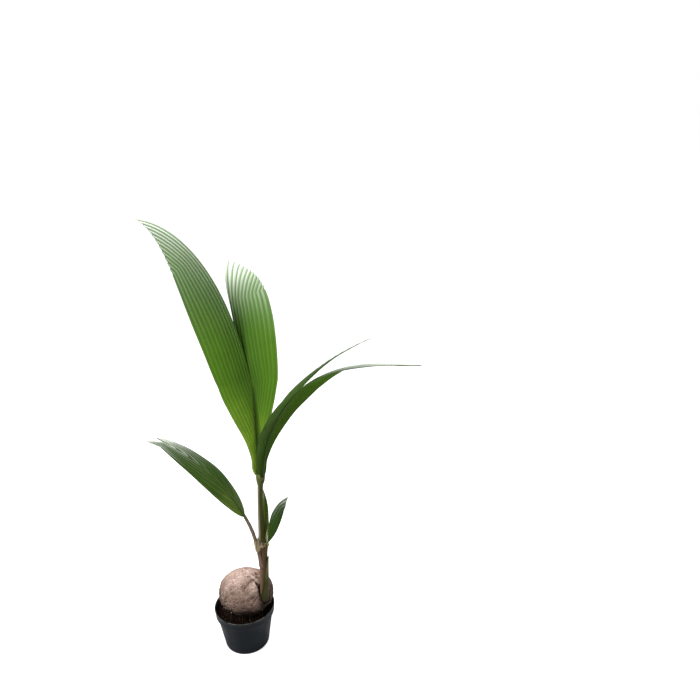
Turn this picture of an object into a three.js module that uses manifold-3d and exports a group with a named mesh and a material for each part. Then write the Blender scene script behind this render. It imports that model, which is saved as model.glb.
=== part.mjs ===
// A coconut palm seedling growing from its nut in a round nursery pot.
// Lengths are in millimetres and angles in degrees, with +Z up.
// The origin is the middle of the pot's flat underside, and the plant is seen from -Y.
import * as THREE from 'three';
import { mergeVertices } from 'three/addons/utils/BufferGeometryUtils.js';
import Module from 'manifold-3d';

const wasm = await Module();
wasm.setup();

const CLEAR = 0.3;
const DEGREE = Math.PI / 180;

// Pot: a thin tapered tub with a stepped rim band and drain holes in its floor.
const POT = {
  height: 142.5, rimRadius: 95, bandRadius: 93.4, bandHeight: 27, shoulderRadius: 88.4,
  baseRadius: 70.8, baseChamfer: 2, wall: 2, floor: 2.6, floorFillet: 1, sides: 40,
  holes: 6, holeRadius: 5, holeCircle: 52, holeSides: 12,
};
const SOIL = { edge: 119, crown: 122, crownShare: 0.8, wallGap: 0.45, stepGap: 0.6 };

// Nut: an oval, faintly three-sided husk lying on the soil, its long axis along X.
const NUT = { centre: [8, 5, 188], radii: [87, 78, 74], ridge: 0.03, ridgeTurn: 100, around: 36, along: 20 };

// Stem: centre line and radius from its flat foot in the husk to the top of the last sheath.
const STEM = {
  sides: 14,
  stations: [
    { at: [69.5, -36, 188], radius: 14 },
    { at: [73.5, -37, 240], radius: 13.2 },
    { at: [76.3, -35, 310], radius: 13.2 },
    { at: [76, -31, 372], radius: 13.8 },
    { at: [76, -28, 396], radius: 14.2 },
    { at: [77, -24.5, 418], radius: 11.8 },
    { at: [77.5, -19, 480], radius: 10.4 },
    { at: [78, -13, 540], radius: 8.6 },
    { at: [80.5, -7.5, 585], radius: 9 },
    { at: [82.5, -4.5, 605], radius: 12 },
  ],
  steps: 20, socketGap: 3.4, socketReach: 0.3, socketSteps: 6,
};
// Collar of torn sheath fibre round the joint of the stem, and the pointed scale at its foot.
const COLLAR = { from: 0.41, to: 0.475, steps: 3, thickness: 1.4 };
const SCALE = {
  from: 0.01, to: 0.3, thickness: 1.8, tipShare: 0.6, gap: 0.6, flare: 3, narrowing: 1.3, flarePower: 4,
  foot: { left: -118, right: 42 }, tip: { left: -18, right: 4 }, columns: 8, rows: 12,
};

// Leaves. Each has a stalk that runs on as the midrib, and two halves that part from each
// other where the midrib ends. A run starts with the first lift and turn and ends with the
// last: lift is the angle above level, turn the direction seen from above. The face is where
// the upper side looks. Fold raises a half towards that side, at the base, the fork and the tip.
// Rise and fall shape the width towards the base and the tip, and teeth says where along the
// outer margin the leaflets begin to end.
const LEAVES = [
  {
    name: 'left_leaf', tint: 0x3f6b2a, stalkTint: 0x8a7a4f,
    stalk: { start: [63.9, -45.9, 388.1], length: 111.7, lift: [85.6, 50.5], turn: [144, 144], bend: 0.83 },
    midrib: { length: 337, lift: [64.2, 29.3], turn: [168.6, 175.3] },
    face: { turn: -0.8, lift: 60.4 }, stalkRadius: 4.6, midribRadius: 4.2, tipRadius: 1.4, steps: 20,
    halves: [
      {
        name: 'near_half', side: -1, run: { length: 51.4, lift: [11.5, -5.8], turn: [179, 170.6] },
        fold: [-11.8, -11.4, -13], width: 55, rise: 0.72, fall: 0.89, teeth: 0.86,
      },
      {
        name: 'far_half', side: 1, run: { length: 27.4, lift: [31.5, 18.4], turn: [166.8, 170.4] },
        fold: [-11.1, -12.5, -12], width: 81, rise: 0.45, fall: 0.67, teeth: 0.86,
      },
    ],
    pleats: 8, rows: 12, crown: 4, cupReach: 80,
  },
  {
    name: 'small_leaf', tint: 0x3a6428, stalkTint: 0x6f7440,
    stalk: { start: [91.6, -19.2, 384], length: 6, lift: [86, 86], turn: [37, 37] },
    midrib: { length: 67, lift: [87.6, 78], turn: [10.1, 9.4] },
    face: { turn: 212.8, lift: 19.7 }, stalkRadius: 3.4, midribRadius: 3.2, tipRadius: 1.2, steps: 14,
    halves: [
      {
        name: 'left_lobe', side: -1, run: { length: 124, lift: [83, 57.7], turn: [74.4, 153.2], bend: 1.2 },
        fold: [14, 6, 0], width: 36, rise: 0.9, fall: 0.9, teeth: 0.8,
      },
      {
        name: 'right_lobe', side: 1, run: { length: 131.6, lift: [80, 31.8], turn: [-11, -16], bend: 1.19 },
        fold: [26.7, 10, -9], width: 61, rise: 0.9, fall: 1, teeth: 0.8,
      },
    ],
    pleats: 4, rows: 9, crown: 2, cupReach: 40,
  },
  {
    name: 'arching_leaf', tint: 0x3f7a24, stalkTint: 0x5b6438,
    stalk: { start: [87.5, -11.8, 605.9], length: 6.1, lift: [85, 85], turn: [-28, -28] },
    midrib: { length: 357, lift: [85.3, 45.5], turn: [-27.8, -18.9] },
    face: { turn: 146, lift: 38.6 }, stalkRadius: 6.4, midribRadius: 6, tipRadius: 1.7, steps: 14,
    halves: [
      {
        name: 'lower_lobe', side: -1,
        run: { length: 410, lift: [43.4, 4.1], turn: [-52.5, -16.2], bend: 0.78 },
        fold: [-3.3, -13.1, -10.3], width: 118, rise: 1.38, fall: 0.71, teeth: 0.8,
      },
      {
        name: 'upper_lobe', side: 1, run: { length: 335, lift: [49.5, 29.3], turn: [-40, -39.5], bend: 0.86 },
        fold: [-6.9, -5.2, 6.4], width: 97, rise: 0.99, fall: 0.75, teeth: 0.75,
      },
    ],
    pleats: 9, rows: 18, crown: 3, cupReach: 80,
  },
  {
    name: 'tall_leaf', tint: 0x5f9a30, stalkTint: 0x5a4a3c,
    stalk: { start: [77.5, 1.4, 606], length: 6, lift: [84, 84], turn: [87, 87] },
    midrib: { length: 293, lift: [84, 76], turn: [87, 106] },
    face: { turn: -100, lift: 26 }, stalkRadius: 6.8, midribRadius: 6.4, tipRadius: 1.8, steps: 12,
    halves: [
      {
        name: 'left_lobe', side: -1, run: { length: 643, lift: [76, -2], turn: [148, 152], bend: 1.85 },
        fold: [17, 13, 0], width: 112, rise: 1.28, fall: 1.16, teeth: 0.74,
      },
      {
        name: 'right_lobe', side: 1, run: { length: 452, lift: [71, 13], turn: [134, 90], bend: 1.14 },
        fold: [23, 22, -16], width: 121, rise: 1.57, fall: 0.89, teeth: 0.72,
      },
    ],
    pleats: 11, rows: 20, crown: 5, cupReach: 80,
  },
];
// Blades: pleats, margins and the clearance along the midrib.
const BLADE = {
  seam: 0.4, margin: 2, thickShare: 0.0102, pleatShare: 0.2, pleatMost: 3.2, tooth: 5, foldSpread: 0.08,
  creaseStart: 0.2, creaseEase: 0.15, stalkSteps: 4, midribSteps: 12, freeSteps: 28, closing: 60,
  stalkSides: 10, depthShare: 0.85,
};

const COLOURS = {
  pot: 0x24282c, soil: 0x2a1d16, husk: 0xb08d78, stem: 0x7a6a45, collar: 0xa88a5c, scale: 0x6b6a38,
};

const mix = (a, b, t) => a + (b - a) * t;
const clamp01 = (t) => Math.min(1, Math.max(0, t));

function vector(list) {
  return new THREE.Vector3(list[0], list[1], list[2]);
}

// Unit vector for a lift above level and a turn seen from above.
function heading(lift, turn) {
  const flat = Math.cos(lift * DEGREE);
  return new THREE.Vector3(
    flat * Math.cos(turn * DEGREE),
    flat * Math.sin(turn * DEGREE),
    Math.sin(lift * DEGREE),
  );
}

// A closed body from shared corners and triangles.
function bodyFrom(corners, faces) {
  const geometry = new THREE.BufferGeometry();
  geometry.setAttribute('position', new THREE.BufferAttribute(new Float32Array(corners.flat()), 3));
  geometry.setIndex(faces.flat());
  return geometry;
}

// Position-only geometry with merged corners and no collapsed triangles.
function weld(source) {
  const geometry = source.clone();
  geometry.deleteAttribute('normal');
  geometry.deleteAttribute('uv');
  const merged = mergeVertices(geometry, 1e-4);
  const faces = [];
  for (let i = 0; i < merged.index.count; i += 3) {
    const [a, b, c] = [merged.index.getX(i), merged.index.getX(i + 1), merged.index.getX(i + 2)];
    if (a !== b && b !== c && c !== a) faces.push(a, b, c);
  }
  merged.setIndex(faces);
  return merged;
}

function toSolid(source) {
  const geometry = weld(source);
  return new wasm.Manifold(new wasm.Mesh({
    numProp: 3,
    vertProperties: new Float32Array(geometry.attributes.position.array),
    triVerts: new Uint32Array(geometry.index.array),
  }));
}

function fromSolid(solid) {
  const mesh = solid.getMesh();
  const geometry = new THREE.BufferGeometry();
  geometry.setAttribute('position', new THREE.BufferAttribute(new Float32Array(mesh.vertProperties), 3));
  geometry.setIndex(Array.from(mesh.triVerts));
  return geometry;
}

// A body of revolution about Z, from radius and height pairs that start and end on the axis.
function turned(profile, sides) {
  const geometry = new THREE.LatheGeometry(profile.map(([r, z]) => new THREE.Vector2(r, z)), sides);
  geometry.rotateX(Math.PI / 2);
  return weld(geometry);
}

// A body through rings of equal count, closed by a fan at each end.
function throughRings(rings) {
  const count = rings[0].length;
  const corners = rings.flat().map((p) => [p.x, p.y, p.z]);
  const faces = [];
  for (let j = 0; j + 1 < rings.length; j += 1) {
    for (let i = 0; i < count; i += 1) {
      const next = (i + 1) % count;
      const [a, b, c, d] = [j * count + i, j * count + next, (j + 1) * count + next, (j + 1) * count + i];
      faces.push([a, b, c], [a, c, d]);
    }
  }
  for (const [j, flip] of [[0, true], [rings.length - 1, false]]) {
    const middle = new THREE.Vector3();
    rings[j].forEach((p) => middle.add(p));
    middle.divideScalar(count);
    corners.push([middle.x, middle.y, middle.z]);
    for (let i = 0; i < count; i += 1) {
      const edge = [j * count + i, j * count + (i + 1) % count];
      if (flip) edge.reverse();
      faces.push([edge[0], edge[1], corners.length - 1]);
    }
  }
  return bodyFrom(corners, faces);
}

function ringAt(centre, across, up, halfWidth, halfDepth, sides) {
  return Array.from({ length: sides }, (_, i) => {
    const angle = (2 * Math.PI * i) / sides;
    return centre.clone()
      .addScaledVector(across, Math.cos(angle) * halfWidth)
      .addScaledVector(up, Math.sin(angle) * halfDepth);
  });
}

// Pot
function potBody() {
  const { height, rimRadius, bandRadius, bandHeight, shoulderRadius, baseRadius, baseChamfer } = POT;
  const { wall, floor } = POT;
  const step = height - bandHeight;
  const inside = potInside();
  const tub = toSolid(turned([
    [0, 0], [baseRadius - baseChamfer, 0], [baseRadius, baseChamfer],
    [shoulderRadius, step - wall], [bandRadius, step], [rimRadius, height - wall],
    [rimRadius - wall / 2, height], ...inside.reverse(),
  ], POT.sides));
  const drill = new THREE.CylinderGeometry(POT.holeRadius, POT.holeRadius, floor * 4, POT.holeSides);
  drill.rotateX(Math.PI / 2);
  return fromSolid(Array.from({ length: POT.holes }, (_, i) => {
    const angle = (2 * Math.PI * (i + 0.5)) / POT.holes;
    return drill.clone().translate(POT.holeCircle * Math.cos(angle), POT.holeCircle * Math.sin(angle), 0);
  }).reduce((solid, hole) => solid.subtract(toSolid(hole)), tub));
}

// The hollow of the pot, from the axis outwards and up.
function potInside() {
  const { height, rimRadius, bandRadius, bandHeight, shoulderRadius, baseRadius } = POT;
  const { wall, floor, floorFillet } = POT;
  const step = height - bandHeight;
  return [
    [0, floor], [baseRadius - wall - floorFillet, floor], [shoulderRadius - wall, step - wall],
    [bandRadius - wall, step + wall / 2], [rimRadius - wall, height],
  ];
}

// Nut
function nutBody(grow) {
  const geometry = new THREE.SphereGeometry(1, NUT.around, NUT.along).rotateZ(Math.PI / 2);
  const place = geometry.attributes.position;
  const point = new THREE.Vector3();
  for (let i = 0; i < place.count; i += 1) {
    point.fromBufferAttribute(place, i);
    const round = Math.hypot(point.y, point.z);
    const angle = Math.atan2(point.z, point.y) - NUT.ridgeTurn * DEGREE;
    const swell = 1 + NUT.ridge * round * Math.cos(3 * angle);
    point.set(
      point.x * (NUT.radii[0] + grow),
      point.y * swell * (NUT.radii[1] + grow),
      point.z * swell * (NUT.radii[2] + grow),
    ).add(vector(NUT.centre));
    place.setXYZ(i, point.x, point.y, point.z);
  }
  return toSolid(geometry);
}

function soilBody() {
  const [, floorEdge, shoulder, band] = potInside();
  const profile = [
    [0, floorEdge[1] + CLEAR], [floorEdge[0] - SOIL.wallGap, floorEdge[1] + CLEAR],
    [shoulder[0] - SOIL.wallGap, shoulder[1] + SOIL.stepGap],
    [band[0] - SOIL.wallGap, band[1] + SOIL.stepGap],
    [band[0] - CLEAR, SOIL.edge], [band[0] * SOIL.crownShare, SOIL.crown], [0, SOIL.crown],
  ];
  return fromSolid(toSolid(turned(profile, POT.sides)).subtract(nutBody(CLEAR)));
}

// Stem: a smooth curve through its stations, with the radius eased between them.
const stemLine = new THREE.CatmullRomCurve3(STEM.stations.map((s) => vector(s.at)), false, 'centripetal');

function stemRadius(share) {
  const place = clamp01(share) * (STEM.stations.length - 1);
  const low = Math.min(Math.floor(place), STEM.stations.length - 2);
  const ease = THREE.MathUtils.smoothstep(place - low, 0, 1);
  return mix(STEM.stations[low].radius, STEM.stations[low + 1].radius, ease);
}

// A length of round limb along the stem, from one share of it to another.
function stemBody(from, to, steps, grow, drop) {
  const rings = Array.from({ length: steps + 1 }, (_, j) => {
    const share = mix(from, to, j / steps);
    const centre = stemLine.getPoint(share);
    if (j === 0) centre.z -= drop;
    const radius = stemRadius(share) + grow;
    return ringAt(centre, new THREE.Vector3(1, 0, 0), new THREE.Vector3(0, 1, 0), radius, radius, STEM.sides);
  });
  return throughRings(rings);
}

function collarBody() {
  const { from, to, steps, thickness } = COLLAR;
  const outer = toSolid(stemBody(from, to, steps, CLEAR + thickness, 0));
  return fromSolid(outer.subtract(toSolid(stemBody(0, 1, STEM.steps, CLEAR, 0))));
}

// A pointed sheath that hugs the front right of the stem and stands off at its tip.
function scaleBody() {
  const { from, to, foot, tip, columns, rows } = SCALE;
  const skin = (share, angle, out) => {
    const centre = stemLine.getPoint(share);
    return centre.addScaledVector(heading(0, angle), stemRadius(share) + out);
  };
  return sheetBody(columns, rows, (column, row, face) => {
    const along = row / rows;
    const share = mix(from, to, along);
    const narrow = along ** SCALE.narrowing;
    const angle = mix(mix(foot.left, tip.left, narrow), mix(foot.right, tip.right, narrow), column / columns);
    const stand = SCALE.gap + SCALE.flare * along ** SCALE.flarePower;
    return skin(share, angle, stand + (face > 0 ? SCALE.thickness * mix(1, SCALE.tipShare, along) : 0));
  });
}

// A thin closed sheet from a grid of places on its two faces. The place function is given the
// column, the row and the face, 1 above and -1 below.
function sheetBody(columns, rows, place) {
  const corners = [];
  const faces = [];
  const size = (columns + 1) * (rows + 1);
  for (const face of [1, -1]) {
    for (let j = 0; j <= rows; j += 1) {
      for (let i = 0; i <= columns; i += 1) {
        const p = place(i, j, face);
        corners.push([p.x, p.y, p.z]);
      }
    }
  }
  const id = (i, j, face) => j * (columns + 1) + i + (face > 0 ? 0 : size);
  for (let j = 0; j < rows; j += 1) {
    for (let i = 0; i < columns; i += 1) {
      const [a, b, c, d] = [[i, j], [i + 1, j], [i + 1, j + 1], [i, j + 1]];
      faces.push([id(...a, 1), id(...b, 1), id(...c, 1)], [id(...a, 1), id(...c, 1), id(...d, 1)]);
      faces.push([id(...a, -1), id(...c, -1), id(...b, -1)], [id(...a, -1), id(...d, -1), id(...c, -1)]);
    }
  }
  const rim = [];
  for (let i = 0; i < columns; i += 1) rim.push([[i, 0], [i + 1, 0]], [[i + 1, rows], [i, rows]]);
  for (let j = 0; j < rows; j += 1) rim.push([[columns, j], [columns, j + 1]], [[0, j + 1], [0, j]]);
  for (const [p, q] of rim) {
    faces.push([id(...p, 1), id(...p, -1), id(...q, -1)], [id(...p, 1), id(...q, -1), id(...q, 1)]);
  }
  return bodyFrom(corners, faces);
}

// Points of a run, one step at a time, from its start.
function walk(start, run, steps) {
  const points = [start.clone()];
  const bend = run.bend ?? 1;
  for (let k = 0; k < steps; k += 1) {
    const t = (k + 0.5) / steps;
    const way = heading(mix(...run.lift, t ** bend), mix(...run.turn, t));
    points.push(points[k].clone().addScaledVector(way, run.length / steps));
  }
  return points;
}

// A line through points at known distances, with its place and its smoothed direction.
class Line {
  constructor(points, reach) {
    this.points = points;
    this.reach = reach;
    this.marks = [0];
    for (let i = 1; i < points.length; i += 1) {
      this.marks.push(this.marks[i - 1] + points[i].distanceTo(points[i - 1]));
    }
    this.length = this.marks[points.length - 1];
  }

  at(distance) {
    const far = Math.min(this.length, Math.max(0, distance));
    let i = 1;
    while (i < this.marks.length - 1 && this.marks[i] < far) i += 1;
    const t = (far - this.marks[i - 1]) / (this.marks[i] - this.marks[i - 1]);
    return this.points[i - 1].clone().lerp(this.points[i], t);
  }

  way(distance) {
    return this.at(distance + this.reach).sub(this.at(distance - this.reach)).normalize();
  }
}

// Directions across a leaf and out of its upper side, square to the way it runs.
function leafFrame(way, face) {
  const up = heading(face.lift, face.turn);
  up.addScaledVector(way, -up.dot(way)).normalize();
  return { across: way.clone().cross(up), up };
}

function leafParts(leaf) {
  const stalkStart = vector(leaf.stalk.start);
  const stalkPoints = walk(stalkStart, leaf.stalk, BLADE.stalkSteps);
  const base = stalkPoints[BLADE.stalkSteps];
  const midribPoints = walk(base, leaf.midrib, BLADE.midribSteps);
  return { stalkPoints, midribPoints, fork: midribPoints[BLADE.midribSteps] };
}

// Half the midrib's width at a distance from the blade's base.
function midribRadius(leaf, distance) {
  return mix(leaf.midribRadius, leaf.tipRadius, clamp01(distance / leaf.midrib.length));
}

function stalkBody(leaf) {
  const { stalkPoints, midribPoints } = leafParts(leaf);
  const line = new Line([...stalkPoints, ...midribPoints.slice(1)], leaf.cupReach / 2);
  const shank = leaf.stalk.length;
  const rings = Array.from({ length: leaf.steps + 1 }, (_, j) => {
    const distance = (line.length * j) / leaf.steps;
    const { across, up } = leafFrame(line.way(distance), leaf.face);
    const width = distance < shank
      ? mix(leaf.stalkRadius, leaf.midribRadius, distance / shank)
      : midribRadius(leaf, distance - shank);
    return ringAt(line.at(distance), up, across, width * BLADE.depthShare, width, BLADE.stalkSides);
  });
  return throughRings(rings);
}

// Width share along a half, 1 at its widest.
function spread(u, rise, fall) {
  const widest = rise / (rise + fall);
  return (clamp01(u) / widest) ** rise * ((1 - clamp01(u)) / (1 - widest)) ** fall;
}

// Fold angle along a half, eased over the fork.
function foldAt(half, u, forkShare) {
  const bent = (v) => (v < forkShare
    ? mix(half.fold[0], half.fold[1], clamp01(v) / forkShare)
    : mix(half.fold[1], half.fold[2], (clamp01(v) - forkShare) / (1 - forkShare)));
  return (bent(u - BLADE.foldSpread) + bent(u) + bent(u + BLADE.foldSpread)) / 3;
}

// One half of a leaf: pleats that leave the midrib one after another and end one after another
// along the toothed outer margin, the innermost at the tip.
function halfBody(leaf, half) {
  const { midribPoints, fork } = leafParts(leaf);
  const line = new Line([...midribPoints, ...walk(fork, half.run, BLADE.freeSteps).slice(1)], leaf.cupReach);
  const forkShare = leaf.midrib.length / line.length;
  const { pleats, rows } = leaf;
  const columns = pleats * 2;
  const thickest = Math.max(BLADE.margin, line.length * BLADE.thickShare);
  const started = (u) => pleats * Math.min(1, u / forkShare);
  const ended = (u) => pleats * clamp01((u - half.teeth) / (1 - half.teeth));

  const middle = (rib, u) => {
    const distance = u * line.length;
    const fold = foldAt(half, u, forkShare) * DEGREE;
    const { across, up } = leafFrame(line.way(distance), leaf.face);
    const outward = half.side * Math.cos(fold);
    const out = across.clone().multiplyScalar(outward).addScaledVector(up, Math.sin(fold));
    const above = up.clone().multiplyScalar(Math.cos(fold));
    above.addScaledVector(across, -half.side * Math.sin(fold));
    const wide = half.width * spread(u, half.rise, half.fall);
    const open = Math.max(started(u) - ended(u), 1e-6);
    const share = clamp01((started(u) - rib) / open);
    const radius = midribRadius(leaf, distance) + BLADE.seam;
    const past = clamp01((distance - leaf.midrib.length) / BLADE.closing);
    const place = line.at(distance).addScaledVector(out, radius * (1 - past) + wide * share);
    const cup = leaf.crown * 4 * share * (1 - share) * (wide / half.width);
    const spacing = wide / Math.max(open, 1);
    const pleat = Math.min(BLADE.pleatMost, spacing * BLADE.pleatShare);
    return { place: place.addScaledVector(above, cup), above, pleat };
  };

  return sheetBody(columns, rows, (column, row, face) => {
    const rib = column / 2;
    const along = row / rows;
    const first = forkShare * (rib / pleats);
    const last = mix(half.teeth, 1, rib / pleats);
    const { place, above, pleat } = middle(rib, mix(first, last, along));
    const inner = column > 0 && column < columns;
    if (row === rows && inner && column % 2 === 0) {
      const back = middle(rib, mix(first, last, 1 - 0.5 / rows)).place;
      place.addScaledVector(place.clone().sub(back).normalize(), BLADE.tooth);
    }
    const crease = inner ? (-1) ** column * mix(BLADE.creaseStart, 1, clamp01(along / BLADE.creaseEase)) : 0;
    const body = Math.sqrt(Math.sin(Math.PI * (column / columns)) * Math.sin(Math.PI * along));
    const halfThick = mix(BLADE.margin, thickest, body || 0) / 2;
    return place.addScaledVector(above, pleat * crease - half.side * face * halfThick);
  });
}

const group = new THREE.Group();

function add(name, geometry, colour, roughness) {
  const material = new THREE.MeshStandardMaterial({ color: colour, roughness, metalness: 0 });
  const mesh = new THREE.Mesh(geometry, material);
  mesh.name = name;
  group.add(mesh);
}

add('pot', potBody(), COLOURS.pot, 0.5);
add('soil', soilBody(), COLOURS.soil, 0.95);
const socket = toSolid(stemBody(0, STEM.socketReach, STEM.socketSteps, STEM.socketGap, CLEAR));
add('coconut_husk', fromSolid(nutBody(0).subtract(socket)), COLOURS.husk, 0.85);
add('stem', stemBody(0, 1, STEM.steps, 0, 0), COLOURS.stem, 0.6);
add('fibre_collar', collarBody(), COLOURS.collar, 0.9);
add('base_scale', scaleBody(), COLOURS.scale, 0.6);
for (const leaf of LEAVES) {
  add(`${leaf.name}_stalk`, stalkBody(leaf), leaf.stalkTint, 0.5);
  for (const half of leaf.halves) {
    add(`${leaf.name}_${half.name}`, halfBody(leaf, half), leaf.tint, 0.45);
  }
}

export default group;
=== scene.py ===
import math

import bpy
import numpy as np
from mathutils import Matrix, Vector, noise


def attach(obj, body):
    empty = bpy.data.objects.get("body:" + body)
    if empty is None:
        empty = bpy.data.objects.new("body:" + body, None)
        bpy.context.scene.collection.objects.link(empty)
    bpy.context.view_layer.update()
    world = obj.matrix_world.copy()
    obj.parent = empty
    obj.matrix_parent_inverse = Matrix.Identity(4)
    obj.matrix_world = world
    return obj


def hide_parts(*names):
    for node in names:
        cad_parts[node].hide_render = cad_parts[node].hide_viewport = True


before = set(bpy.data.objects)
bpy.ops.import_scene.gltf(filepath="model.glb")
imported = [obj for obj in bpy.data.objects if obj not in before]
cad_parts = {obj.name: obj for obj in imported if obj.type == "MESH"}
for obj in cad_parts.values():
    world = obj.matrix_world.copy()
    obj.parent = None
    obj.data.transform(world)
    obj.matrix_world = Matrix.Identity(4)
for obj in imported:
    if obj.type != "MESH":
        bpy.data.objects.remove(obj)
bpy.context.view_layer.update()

MM = 0.001

# Pot, compost and nut, as the solids have them.
POT = {
    "height": 142.5, "rim_radius": 95, "band_radius": 93.4, "band_height": 27, "shoulder_radius": 88.4,
    "base_radius": 70.8, "wall": 2, "floor": 2.6, "holes": 6, "hole_radius": 5, "hole_circle": 52,
}
SOIL = {"edge": 119, "crown": 122}
NUT_MIDDLE = np.array((8, 5, 188.0))
NUT_RADII = np.array((87, 78, 74.0))
# Three soft ridges run along the nut: how high, as a share of its radius, and where the first is.
RIDGES = {"count": 3, "height": 0.03, "turn": 100}

# Stem: centre line and radius from its foot to the top of the last sheath.
STEM = [
    ((69.5, -36, 188), 14), ((73.5, -37, 240), 13.2), ((76.3, -35, 310), 13.2), ((76, -31, 372), 13.8),
    ((76, -28, 396), 14.2), ((77, -24.5, 418), 11.8), ((77.5, -19, 480), 10.4), ((78, -13, 540), 8.6),
    ((80.5, -7.5, 585), 9), ((82.5, -4.5, 605), 12),
]

STEM_FOOT = STEM[0][0][2]
JOINT = 396
# Torn mouth of the last sheath, an oval that opens out as it rises above its place.
MOUTH = {
    "place": (82.5, -5, 605.0), "rises": (3, 7, 12, 17), "line": (10.5, -14.0, 0),
    "long": (13.4, 17.5), "short": (13.2, 12.5), "ragged": 1.6,
}

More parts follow.
